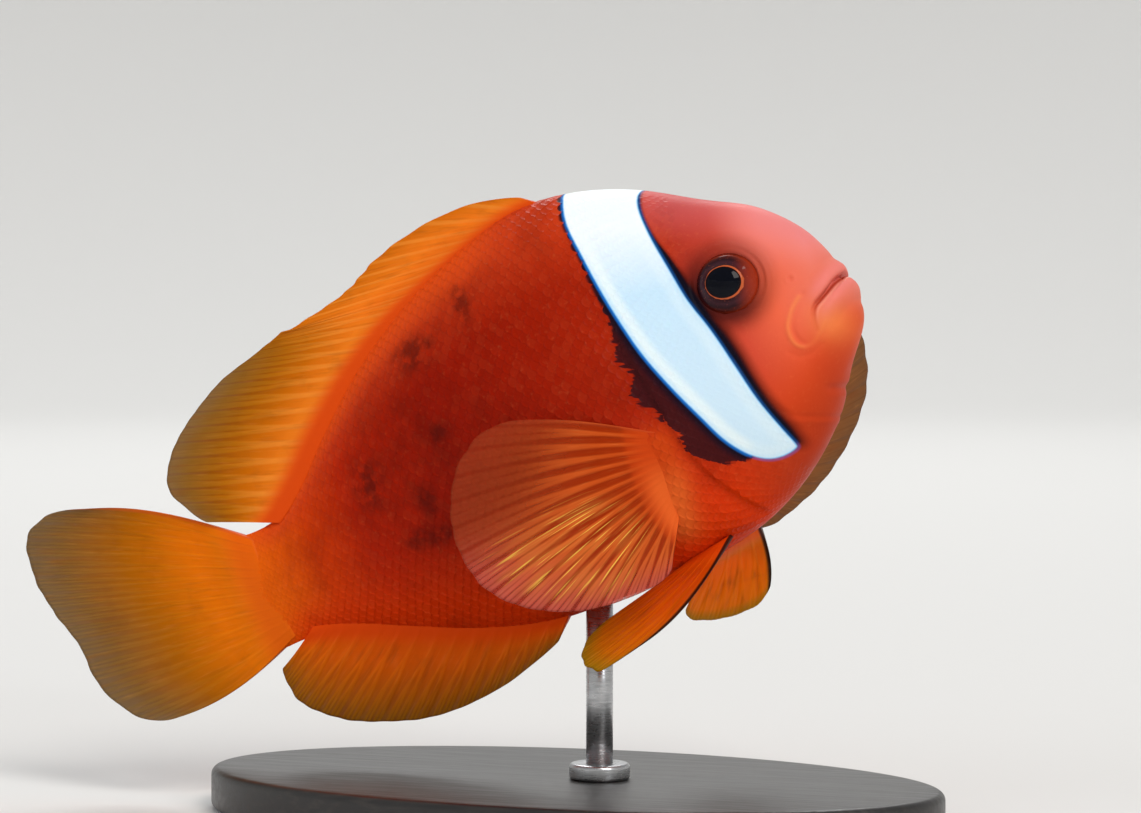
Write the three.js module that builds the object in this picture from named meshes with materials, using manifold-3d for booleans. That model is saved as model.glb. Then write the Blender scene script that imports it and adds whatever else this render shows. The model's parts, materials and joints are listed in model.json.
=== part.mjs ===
// A tomato clownfish, life size, swimming nose-up, held over a flat base by one short rod.
// Millimetres, +Z up. The origin is the middle of the base's underside, and the fish heads towards +X.
// The fish is shaped in a frame of its own, x forward from the tail root, y to its left and z towards its
// back, and the whole of it is then pitched and lifted into place.
import * as THREE from "three";
import { mergeVertices } from "three/addons/utils/BufferGeometryUtils.js";
import Module from "manifold-3d";

const wasm = await Module();
wasm.setup();

// ---------- driving dimensions ----------

const PITCH = THREE.MathUtils.degToRad(26); // nose up
const TAIL_ROOT = [-37, 0, 24.6]; // where the fish frame's origin stands
const GAP = 0.3; // clearance between neighbouring solids

const BODY_RINGS = 36; // sections along the body
const RING_SIDES = 26; // points round each section

const EYE_CENTRE = [67.4, 5.9, 6.6]; // of the left eye
const EYE_RADIUS = 3.55;
const EYE_DEPTH = 2.6; // half its thickness, along the way it looks
const EYE_LOOK = [0.26, 0.95, 0.14]; // the way the left eye looks

const MOUTH_TIP = [78.2, 2.3]; // x, z of the mouth slit at the snout, which ends the fish's standard length
const MOUTH_CORNER = [74.5, -0.2]; // x, z of its corners
const LIP_SWELL = 0.45; // how far the lips stand out
const LIP_OFFSET = 1.1; // from the slit to the top of a lip
const LIP_WIDTH = 0.8;

const BASE_LENGTH = 86;
const BASE_WIDTH = 48;
const BASE_HEIGHT = 4.8;
const BASE_BEVEL = 0.8;
const ROD_RADIUS = 1.5;
const ROD_X = 3.6; // the rod meets the belly just ahead of the anal fin
const ROD_TOP = 32; // inside the belly, where the rod is trimmed to it
const SOCKET_DEPTH = 2.6;
const COLLAR_RADIUS = 3.4;
const COLLAR_HEIGHT = 1.5;

// The body is lofted through three lines of matching stations, from the tail root to the mouth.
// Each back and belly entry is [x, z], and each flank entry is [x, half width, z at the widest].
const BACK_LINE = [
  [-1.5, 7.4],
  [4, 7.2],
  [9, 9.8],
  [15, 14.3],
  [22, 18.8],
  [30, 22.5],
  [39, 25.1],
  [46.5, 26.1],
  [53.5, 24.85],
  [60.2, 21.95],
  [66.4, 17.8],
  [72.0, 13.9],
  [75.8, 9.4],
  [77.4, 5.5],
  MOUTH_TIP,
];
const BELLY_LINE = [
  [-1.5, -7.0],
  [4, -7.4],
  [9, -9.0],
  [15, -11.8],
  [22, -15.0],
  [30, -17.6],
  [38, -18.6],
  [46, -19.2],
  [53, -18.9],
  [59.0, -17.8],
  [64.8, -15.4],
  [70.0, -11.7],
  [73.9, -6.9],
  [77.9, -2.2],
  MOUTH_TIP,
];
const FLANK_LINE = [
  [-1.5, 1.3, 0],
  [4, 2.1, 0],
  [9, 3.1, 0.4],
  [15, 4.6, 1.0],
  [22, 6.3, 1.6],
  [30, 7.8, 2.0],
  [38.5, 8.9, 1.8],
  [46.4, 9.5, 1.0],
  [53.4, 9.7, -0.4],
  [59.6, 9.3, -1.6],
  [65.4, 8.2, -1.8],
  [70.4, 6.6, -1.4],
  [74.2, 4.9, -0.4],
  [77.0, 3.1, 1.2],
  [MOUTH_TIP[0], 0, MOUTH_TIP[1]],
];
// How the section rounds off towards the back and the belly, from the tail root to the mouth.
// 1 is an ellipse, more draws the edge to a keel and less makes it broader.
const BACK_KEEL = [1.2, 1.3, 1.3, 1.25, 1.0, 0.9, 0.9];
const BELLY_KEEL = [1.2, 1.3, 1.25, 1.05, 0.95, 0.9, 0.9];

// ---------- finishes ----------

function finish(color, roughness, metalness = 0) {
  return new THREE.MeshStandardMaterial({ color, roughness, metalness });
}

const RED_SKIN = finish(0xc23a14, 0.45);
const ORANGE_FIN = finish(0xdc7410, 0.45);
const DARK_EYE = finish(0x2a1616, 0.1);
const BLACK_BASE = finish(0x1c1b1a, 0.5);
const STEEL = finish(0xb9bbbd, 0.3, 1);

// ---------- small helpers ----------

const BACKWARD = new THREE.Vector3(-1, 0, 0);
const UPWARD = new THREE.Vector3(0, 0, 1);
const DOWNWARD = new THREE.Vector3(0, 0, -1);

const { lerp, smoothstep } = THREE.MathUtils;
const vector = (point) => new THREE.Vector3(...point);
const degrees = THREE.MathUtils.degToRad;

/** A smooth value at t, from 0 to 1, through evenly spaced knots. */
function through(knots, t) {
  const curve = new THREE.SplineCurve(knots.map((value, i) => new THREE.Vector2(i, value)));
  return curve.getPoint(Math.min(Math.max(t, 0), 1)).y;
}

/** A closed solid made from a list of points and triangles, turned outside out if it has to be. */
function solidFrom(points, triangles) {
  const geometry = new THREE.BufferGeometry();
  geometry.setAttribute("position", new THREE.Float32BufferAttribute(points.flatMap((p) => p.toArray()), 3));
  geometry.setIndex(triangles);
  const solid = toSolid(geometry);
  return solid.volume() > 0 ? solid : solidFrom(points, triangles.toReversed());
}

/** A three.js geometry as a manifold-3d solid, placed by a matrix. */
function toSolid(geometry, matrix = new THREE.Matrix4()) {
  const bare = geometry.clone().applyMatrix4(matrix);
  bare.deleteAttribute("normal");
  bare.deleteAttribute("uv");
  const merged = mergeVertices(bare, 1e-4);
  return new wasm.Manifold(
    new wasm.Mesh({
      numProp: 3,
      vertProperties: merged.attributes.position.array,
      triVerts: new Uint32Array(merged.index.array),
    }),
  );
}

/** A manifold-3d solid as a named mesh. */
function toMesh(name, solid, material) {
  const mesh = solid.getMesh();
  const geometry = new THREE.BufferGeometry();
  geometry.setAttribute("position", new THREE.BufferAttribute(mesh.vertProperties, 3));
  geometry.setIndex(new THREE.BufferAttribute(mesh.triVerts, 1));
  geometry.computeVertexNormals();
  const made = new THREE.Mesh(geometry, material);
  made.name = name;
  return made;
}

/** Triangles of a grid of rows by columns, wrapped round its columns if closed. */
function gridTriangles(rows, columns, closed, start = 0) {
  const triangles = [];
  const last = closed ? columns : columns - 1;
  for (let i = 0; i < rows - 1; i++) {
    for (let j = 0; j < last; j++) {
      const a = start + i * columns + j;
      const b = start + i * columns + ((j + 1) % columns);
      triangles.push(a, b, b + columns, a, b + columns, a + columns);
    }
  }
  return triangles;
}

// ---------- the body ----------

const backCurve = new THREE.CatmullRomCurve3(BACK_LINE.map(([x, z]) => new THREE.Vector3(x, 0, z)));
const bellyCurve = new THREE.CatmullRomCurve3(BELLY_LINE.map(([x, z]) => new THREE.Vector3(x, 0, z)));
const flankCurve = new THREE.CatmullRomCurve3(FLANK_LINE.map(([x, y, z]) => new THREE.Vector3(x, y, z)));

/** The swelling of the lips at a point of the snout, outwards, in millimetres. */
function lipSwell(point) {
  const slope = Math.atan2(MOUTH_TIP[1] - MOUTH_CORNER[1], MOUTH_TIP[0] - MOUTH_CORNER[0]);
  const ahead = point.x - MOUTH_CORNER[0];
  const above = (point.z - MOUTH_CORNER[1]) * Math.cos(slope) - ahead * Math.sin(slope);
  const roll = Math.exp(-(((Math.abs(above) - LIP_OFFSET) / LIP_WIDTH) ** 2));
  return LIP_SWELL * roll * smoothstep(ahead, -0.8, 1.6);
}

/** The plain loft: t runs from tail root to mouth, angle from the back, down the left side and up again. */
function loftPoint(t, angle) {
  const flank = flankCurve.getPoint(t);
  const upper = Math.cos(angle) >= 0;
  const edge = (upper ? backCurve : bellyCurve).getPoint(t);
  const keel = through(upper ? BACK_KEEL : BELLY_KEEL, t);
  const side = Math.sin(angle);
  const reach = Math.abs(Math.cos(angle));
  return new THREE.Vector3(
    lerp(flank.x, edge.x, reach),
    Math.sign(side) * flank.y * Math.abs(side) ** keel,
    lerp(flank.z, edge.z, reach),
  );
}

/** A point of the body's surface, moved out along its normal by offset. */
function bodyPoint(t, angle, offset = 0) {
  const step = 1e-3;
  const point = loftPoint(t, angle);
  const along = loftPoint(Math.min(t + step, 1), angle).sub(loftPoint(Math.max(t - step, 0), angle));
  const round = loftPoint(t, angle + step * 6).sub(loftPoint(t, angle - step * 6));
  const normal = along.cross(round).normalize();
  return point.addScaledVector(normal, offset + lipSwell(point));
}

/** The whole body as one closed solid, grown by offset. */
function bodySolid(offset = 0) {
  const points = [];
  for (let i = 0; i < BODY_RINGS; i++) {
    for (let j = 0; j < RING_SIDES; j++) {
      points.push(bodyPoint(i / BODY_RINGS, (2 * Math.PI * j) / RING_SIDES, offset));
    }
  }
  const triangles = gridTriangles(BODY_RINGS, RING_SIDES, true);
  for (const point of points.slice(0, RING_SIDES)) point.x -= offset;
  const tail = points.push(new THREE.Vector3(BACK_LINE[0][0] - offset, 0, 0)) - 1;
  const mouth = points.push(new THREE.Vector3(MOUTH_TIP[0] + offset, 0, MOUTH_TIP[1])) - 1;
  const front = (BODY_RINGS - 1) * RING_SIDES;
  for (let j = 0; j < RING_SIDES; j++) {
    const next = (j + 1) % RING_SIDES;
    triangles.push(tail, next, j, mouth, front + j, front + next);
  }
  return solidFrom(points, triangles);
}

/** Height of the back (or the belly) at x. */
function edgeHeight(line, x) {
  const curve = line === BACK_LINE ? backCurve : bellyCurve;
  let [low, high] = [0, 1];
  for (let i = 0; i < 24; i++) {
    const middle = (low + high) / 2;
    if (curve.getPoint(middle).x < x) low = middle;
    else high = middle;
  }
  return curve.getPoint(low).z;
}

/** Half the width of the body at x and z, found by walking round the nearest section. */
function halfWidth(x, z) {
  let best = { distance: Infinity, y: 0 };
  for (let t = 0; t < 1; t += 0.01) {
    for (let angle = 0.05; angle < Math.PI; angle += 0.05) {
      const p = loftPoint(t, angle);
      const distance = Math.hypot(p.x - x, p.z - z);
      if (distance < best.distance) best = { distance, y: p.y };
    }
  }
  return best.y;
}

const body = bodySolid();
const clearance = bodySolid(GAP);

/** A flat-sided cutter: an outline of [x, z] corners, run across the body from one y to another. */
function prism(outline, fromY, toY) {
  const shape = new THREE.Shape(outline.map(([x, z]) => new THREE.Vector2(x, z)));
  const geometry = new THREE.ExtrudeGeometry(shape, { depth: toY - fromY, bevelEnabled: false });
  return toSolid(geometry, new THREE.Matrix4().makeRotationX(Math.PI / 2).setPosition(0, toY, 0));
}

// ---------- head, jaw, gill covers, trunk and tail stalk ----------

const FAR = 60; // past every side of the body
const STALK_X = 11; // the cut between trunk and tail stalk
const JAW_FOOT = [69.5, -16]; // the jaw's rear edge runs from the mouth's corner down to here

// The cut between trunk and head runs from the nape down the gill slit to the throat, as [x, z].
const NECK_LINE = [
  [49.5, 32],
  [51.6, 20],
  [54.0, 9],
  [55.3, -1],
  [56.6, -10],
  [60.0, -18],
  [62.5, -24],
];

// A gill cover is an ellipse in outline, cut off behind by the gill slit.
const COVER_CENTRE = [60.4, -3.4];
const COVER_RADII = [6.2, 9.8];
const COVER_THICKNESS = 1.6;
const COVER_LEAN = degrees(12); // its top towards the tail

/** The gill cover's rounded outline, grown by margin. */
function coverOutline(margin) {
  const ellipse = new THREE.EllipseCurve(
    ...COVER_CENTRE, COVER_RADII[0] + margin, COVER_RADII[1] + margin, 0, 2 * Math.PI, false, COVER_LEAN,
  );
  return ellipse.getPoints(20).slice(1).map((p) => [p.x, p.y]);
}

/** Everything ahead of the neck cut, with the cut moved forwards by shift. */
function aheadOfNeck(shift) {
  const line = new THREE.SplineCurve(NECK_LINE.map(([x, z]) => new THREE.Vector2(x + shift, z)));
  return prism([...line.getPoints(24).map((p) => [p.x, p.y]), [FAR * 2, -24], [FAR * 2, 32]], -FAR, FAR);
}

/** Everything behind the cut across the tail stalk, with the cut moved forwards by shift. */
function behindStalk(shift) {
  return prism([[-FAR, -FAR], [STALK_X + shift, -FAR], [STALK_X + shift, FAR], [-FAR, FAR]], -FAR, FAR);
}

/** The lower jaw's side of the mouth slit, with its rear edge and top moved out by margin. */
function jawSide(margin) {
  const beyond = 3; // how much further the mouth's line runs past the snout
  const rise = ((MOUTH_TIP[1] - MOUTH_CORNER[1]) / (MOUTH_TIP[0] - MOUTH_CORNER[0])) * beyond;
  return prism(
    [
      [JAW_FOOT[0] - margin, JAW_FOOT[1]],
      [MOUTH_TIP[0] + beyond, JAW_FOOT[1]],
      [MOUTH_TIP[0] + beyond, MOUTH_TIP[1] + rise + margin],
      [MOUTH_CORNER[0] - margin, MOUTH_CORNER[1] + margin],
    ],
    -FAR,
    FAR,
  );
}

/** An eye as a flattened ball, grown by margin. side is 1 for left and -1 for right. */
function eyeSolid(side, margin) {
  const mirror = new THREE.Vector3(1, side, 1);
  const look = vector(EYE_LOOK).multiply(mirror).normalize();
  const place = new THREE.Matrix4().compose(
    vector(EYE_CENTRE).multiply(mirror),
    new THREE.Quaternion().setFromUnitVectors(UPWARD, look),
    new THREE.Vector3(EYE_RADIUS + margin, EYE_RADIUS + margin, EYE_DEPTH + margin),
  );
  const ball = new THREE.SphereGeometry(1, 16, 10).rotateX(Math.PI / 2);
  return toSolid(ball, place);
}

/** The room of one gill cover: what lies inside its outline and outside the head's core, grown by margin. */
function coverRoom(side, margin) {
  const [from, to] = side > 0 ? [3, FAR] : [-FAR, -3];
  return prism(coverOutline(margin), from, to).subtract(bodySolid(-COVER_THICKNESS - margin));
}

function fleshParts() {
  let head = body.intersect(aheadOfNeck(GAP)).subtract(jawSide(GAP));
  const covers = {};
  for (const [word, side] of [["left", 1], ["right", -1]]) {
    head = head.subtract(coverRoom(side, GAP)).subtract(eyeSolid(side, GAP));
    covers[word] = body.intersect(coverRoom(side, 0)).intersect(aheadOfNeck(GAP));
  }
  const behindNeck = body.subtract(aheadOfNeck(0));
  return [
    toMesh("head", head, RED_SKIN),
    toMesh("lower_jaw", body.intersect(jawSide(0)), RED_SKIN),
    toMesh("gill_cover_left", covers.left, RED_SKIN),
    toMesh("gill_cover_right", covers.right, RED_SKIN),
    toMesh("trunk", behindNeck.subtract(behindStalk(GAP)), RED_SKIN),
    toMesh("tail_stalk", behindNeck.intersect(behindStalk(0)), RED_SKIN),
  ];
}

function eyes() {
  return [
    toMesh("eye_left", eyeSolid(1, 0), DARK_EYE),
    toMesh("eye_right", eyeSolid(-1, 0), DARK_EYE),
  ];
}

// ---------- fins ----------

/**
 * One fin: a thin sheet that spreads over its rays, trimmed to the body.
 * root(t) is where the ray at t starts, from 0 at the first ray to 1 at the last. A ray's angle is measured
 * from along towards up. cup(t, r) bows the sheet along its normal, r being the share of the ray's length,
 * bow curves the first ray away from the rest, and splay bows the first and last rays outwards.
 */
function finSolid(sizes) {
  const { rays, steps, root, along, up, angles, lengths, cup, rootHalf, tipHalf } = sizes;
  const { notch = 0.05, bow = 0, splay = [0, 0] } = sizes;
  const normal = along.clone().cross(up).normalize();
  const columns = 2 * rays - 1; // a ray, then the membrane's middle, then the next ray
  const place = (column, step, side) => {
    const t = column / (columns - 1);
    const onRay = column % 2 === 0;
    const r = (step / steps) * (onRay ? 1 : 1 - notch);
    const angle = degrees(through(angles, t));
    const reach = through(lengths, t) * r;
    const half = lerp(rootHalf, tipHalf, Math.sqrt(step / steps)) * (onRay ? 1 : 0.92);
    const first = splay[0] * Math.max(1 - 2.5 * t, 0) ** 1.5;
    const last = splay[1] * Math.max(2.5 * t - 1.5, 0) ** 1.5;
    const bend = (first - last - bow * (1 - t)) * Math.sin(Math.PI * r);
    return root(t)
      .addScaledVector(along, Math.cos(angle) * reach)
      .addScaledVector(up, Math.sin(angle) * reach + bend)
      .addScaledVector(normal, cup(t, r) + side * half);
  };
  const points = [];
  for (const side of [1, -1]) {
    for (let step = 0; step <= steps; step++) {
      for (let column = 0; column < columns; column++) points.push(place(column, step, side));
    }
  }
  const sheet = (steps + 1) * columns;
  const top = gridTriangles(steps + 1, columns, false);
  const bottom = gridTriangles(steps + 1, columns, false, sheet);
  const triangles = [...top.reverse(), ...bottom];
  const rim = [];
  for (let c = 0; c < columns; c++) rim.push(c);
  for (let s = 1; s <= steps; s++) rim.push(s * columns + columns - 1);
  for (let c = columns - 2; c >= 0; c--) rim.push(steps * columns + c);
  for (let s = steps - 1; s > 0; s--) rim.push(s * columns);
  rim.forEach((a, i) => {
    const b = rim[(i + 1) % rim.length];
    triangles.push(a, b, b + sheet, a, b + sheet, a + sheet);
  });
  return solidFrom(points, triangles);
}

/** The largest piece that is left of a fin outside the body. */
function trimmed(solid) {
  const pieces = solid.subtract(clearance).decompose();
  return pieces.sort((a, b) => b.volume() - a.volume())[0];
}

const ROOTED = 1.2; // how deep a fin's rays start under the skin

/** Root points of a fin that stands on the back or hangs from the belly between two places. */
function medianRoot(line, fromX, toX) {
  const inward = line === BACK_LINE ? -1 : 1;
  return (t) => {
    const x = lerp(fromX, toX, t);
    return new THREE.Vector3(x, 0, edgeHeight(line, x) + inward * ROOTED);
  };
}

const DORSAL_SPLIT_X = 29.5; // where spines give way to soft rays

function dorsalFins() {
  const spiny = finSolid({
    rays: 10,
    steps: 3,
    root: medianRoot(BACK_LINE, 50.5, DORSAL_SPLIT_X),
    along: BACKWARD,
    up: UPWARD,
    angles: [41, 28, 27, 28, 30, 34],
    lengths: [4.4, 9.9, 10.7, 10.6, 9.8, 9.3],
    cup: (t, r) => 0.5 * r * Math.sin(3 * t),
    rootHalf: 0.8,
    tipHalf: 0.28,
    notch: 0.1,
  });
  const soft = finSolid({
    rays: 16,
    steps: 3,
    root: medianRoot(BACK_LINE, DORSAL_SPLIT_X - 0.7, 5),
    along: BACKWARD,
    up: UPWARD,
    angles: [32, 27, 25, 24, 24, 25, 26],
    lengths: [10.6, 14.8, 17.9, 19.2, 19.0, 17.1, 10.6],
    cup: (t, r) => 1.1 * r * r * Math.sin(4.5 * t + 0.6),
    rootHalf: 0.8,
    tipHalf: 0.28,
    notch: 0.02,
  });
  return [
    toMesh("dorsal_fin_spiny", trimmed(spiny), ORANGE_FIN),
    toMesh("dorsal_fin_soft", trimmed(soft), ORANGE_FIN),
  ];
}

function analFin() {
  const solid = finSolid({
    rays: 15,
    steps: 3,
    root: medianRoot(BELLY_LINE, 33.5, 3.5),
    along: BACKWARD,
    up: DOWNWARD,
    angles: [39, 38, 37, 34, 31, 28, 26],
    lengths: [5.1, 9.1, 12.0, 13.6, 13.9, 12.0, 7.2],
    cup: (t, r) => -0.9 * r * r * Math.sin(4 * t),
    rootHalf: 0.75,
    tipHalf: 0.28,
    notch: 0.03,
  });
  return toMesh("anal_fin", trimmed(solid), ORANGE_FIN);
}

function caudalFin() {
  const solid = finSolid({
    rays: 14,
    steps: 4,
    root: (t) => new THREE.Vector3(-0.9, 0, lerp(7.5, -7.2, t)),
    along: BACKWARD,
    up: UPWARD,
    angles: [34, 29.5, 24, 19.5, 14.5, 5.5, -8],
    lengths: [23.0, 28.0, 28.4, 27.0, 24.6, 23.2, 17.6],
    cup: (t, r) => -1.6 * r * r + 0.5 * r * Math.sin(5 * t),
    rootHalf: 1.0,
    tipHalf: 0.28,
    notch: 0.03,
    splay: [1.3, 1.1],
  });
  return toMesh("caudal_fin", trimmed(solid), ORANGE_FIN);
}

const PECTORAL_TOP = [54.0, -4.7]; // x, z of the fin's uppermost ray at the flank
const PECTORAL_FOOT = [51.7, -13.4];
const PECTORAL_ANGLES = [30, 20, 10, 0, -10, -20, -31, -43, -58];
const PECTORAL_LENGTHS = [17.4, 22.0, 24.2, 24.5, 23.2, 19.8, 15.4, 10.6, 6.4];

/** A pectoral fin. out is the way it points, spine the way its rays fan up, turn shifts the fan upwards. */
function pectoralFin({ side, out, spine, turn, bulge, share = 1, bow = 0 }) {
  const along = vector(out).normalize();
  const up = vector(spine).addScaledVector(along, -vector(spine).dot(along)).normalize();
  const rootLine = [0, 0.5, 1].map((t) => {
    const x = lerp(PECTORAL_TOP[0], PECTORAL_FOOT[0], t);
    const z = lerp(PECTORAL_TOP[1], PECTORAL_FOOT[1], t);
    return new THREE.Vector3(x, side * (halfWidth(x, z) - 0.6), z);
  });
  const rootCurve = new THREE.CatmullRomCurve3(rootLine);
  const solid = finSolid({
    rays: 16,
    steps: 3,
    root: (t) => rootCurve.getPoint(t),
    along,
    up,
    angles: PECTORAL_ANGLES.map((angle) => angle + turn),
    lengths: PECTORAL_LENGTHS.map((length) => length * share),
    cup: (t, r) => bulge * Math.sin(Math.PI * r * 0.8) * (0.4 + Math.sin(Math.PI * t)),
    rootHalf: 0.75,
    tipHalf: 0.28,
    notch: 0.03,
    bow,
  });
  return trimmed(solid);
}

function pectoralFins() {
  const right = pectoralFin({
    side: -1,
    out: [-1, -0.24, 0],
    spine: [0, 0.12, 1],
    turn: 0,
    bulge: -1,
    bow: -0.6,
  });
  const left = pectoralFin({
    side: 1,
    out: [0.56, 0.83, 0],
    spine: [0.2, -0.5, 1],
    turn: 18,
    bulge: 1,
    share: 1.03,
  });
  return [
    toMesh("pectoral_fin_right", right, ORANGE_FIN),
    toMesh("pectoral_fin_left", left, ORANGE_FIN),
  ];
}

/** A pelvic fin between its leading spine and its last ray, each given as [root, tip]. */
function pelvicFin(leading, trailing, lengths, bulge, bow) {
  const [leadRoot, leadTip] = leading.map(vector);
  const [tailRoot, tailTip] = trailing.map(vector);
  const along = leadTip.clone().sub(leadRoot).normalize();
  const back = tailTip.clone().sub(tailRoot).normalize();
  const up = back.clone().addScaledVector(along, -back.dot(along)).normalize();
  const spread = THREE.MathUtils.radToDeg(along.angleTo(back));
  const solid = finSolid({
    rays: 6,
    steps: 4,
    root: (t) => leadRoot.clone().lerp(tailRoot, t),
    along,
    up,
    angles: [0, spread * 0.5, spread],
    lengths,
    cup: (t, r) => bulge * Math.sin(Math.PI * t) * r,
    rootHalf: 0.6,
    tipHalf: 0.28,
    notch: 0.06,
    bow,
  });
  return trimmed(solid);
}

function pelvicFins() {
  const right = pelvicFin(
    [[55.0, -3.2, -17.8], [39.7, -7.5, -24.9]],
    [[49.5, -2.2, -18.2], [36.5, -5.0, -20.6]],
    [17.6, 19.4, 17.5, 12.6],
    -0.8,
    1.3,
  );
  const left = pelvicFin(
    [[56.4, 3.2, -17.2], [51.2, 12.8, -24.0]],
    [[50.0, 2.0, -18.2], [41.7, 9.0, -22.6]],
    [12.8, 15.8, 15.4, 11.8],
    0.8,
    0.5,
  );
  return [
    toMesh("pelvic_fin_right", right, ORANGE_FIN),
    toMesh("pelvic_fin_left", left, ORANGE_FIN),
  ];
}

// ---------- the fish, pitched and lifted ----------

const fish = new THREE.Group();
fish.add(...fleshParts(), ...eyes());
fish.add(...dorsalFins(), analFin(), caudalFin(), ...pectoralFins(), ...pelvicFins());
fish.position.set(...TAIL_ROOT);
fish.rotation.y = -PITCH;
fish.updateMatrix();

// ---------- the stand ----------

/** A flat oval base with a bevelled top edge and a blind socket for the rod. */
function standBase() {
  const oval = new THREE.Shape();
  oval.absellipse(0, 0, BASE_LENGTH / 2 - BASE_BEVEL, BASE_WIDTH / 2 - BASE_BEVEL, 0, 2 * Math.PI);
  const slab = new THREE.ExtrudeGeometry(oval, {
    depth: BASE_HEIGHT - 2 * BASE_BEVEL,
    bevelThickness: BASE_BEVEL,
    bevelSize: BASE_BEVEL,
    bevelSegments: 1,
    curveSegments: 16,
  });
  const socket = new THREE.CylinderGeometry(ROD_RADIUS + GAP, ROD_RADIUS + GAP, 2 * SOCKET_DEPTH, 16);
  const upright = new THREE.Matrix4().makeRotationX(Math.PI / 2).setPosition(ROD_X, 0, BASE_HEIGHT);
  const solid = toSolid(slab, new THREE.Matrix4().makeTranslation(0, 0, BASE_BEVEL));
  return toMesh("stand_base", solid.subtract(toSolid(socket, upright)), BLACK_BASE);
}

/** The rod, from the bottom of its socket to the belly, trimmed to it. */
function standRod() {
  const foot = BASE_HEIGHT - SOCKET_DEPTH + GAP;
  const length = ROD_TOP - foot;
  const cylinder = new THREE.CylinderGeometry(ROD_RADIUS, ROD_RADIUS, length, 16);
  const upright = new THREE.Matrix4().makeRotationX(Math.PI / 2).setPosition(ROD_X, 0, foot + length / 2);
  const inFish = fish.matrix.clone().invert().multiply(upright);
  const rod = trimmed(toSolid(cylinder, inFish));
  const placed = toMesh("stand_rod", rod, STEEL);
  placed.geometry.applyMatrix4(fish.matrix);
  return placed;
}

/** A low ring round the rod where it enters the base. */
function standCollar() {
  const inner = ROD_RADIUS + GAP;
  const low = BASE_HEIGHT + GAP;
  const high = low + COLLAR_HEIGHT;
  const chamfer = 0.5;
  const profile = [
    [inner, low],
    [COLLAR_RADIUS, low],
    [COLLAR_RADIUS, high - chamfer],
    [COLLAR_RADIUS - chamfer, high],
    [inner, high],
    [inner, low],
  ].map(([r, z]) => new THREE.Vector2(r, z));
  const ring = new THREE.LatheGeometry(profile, 20);
  const upright = new THREE.Matrix4().makeRotationX(Math.PI / 2).setPosition(ROD_X, 0, 0);
  return toMesh("stand_collar", toSolid(ring, upright), STEEL);
}

const model = new THREE.Group();
model.add(fish, standBase(), standRod(), standCollar());
export default model;
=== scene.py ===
"""A life-size display model of a tomato clownfish, held over an oval base by one short steel rod."""

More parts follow.
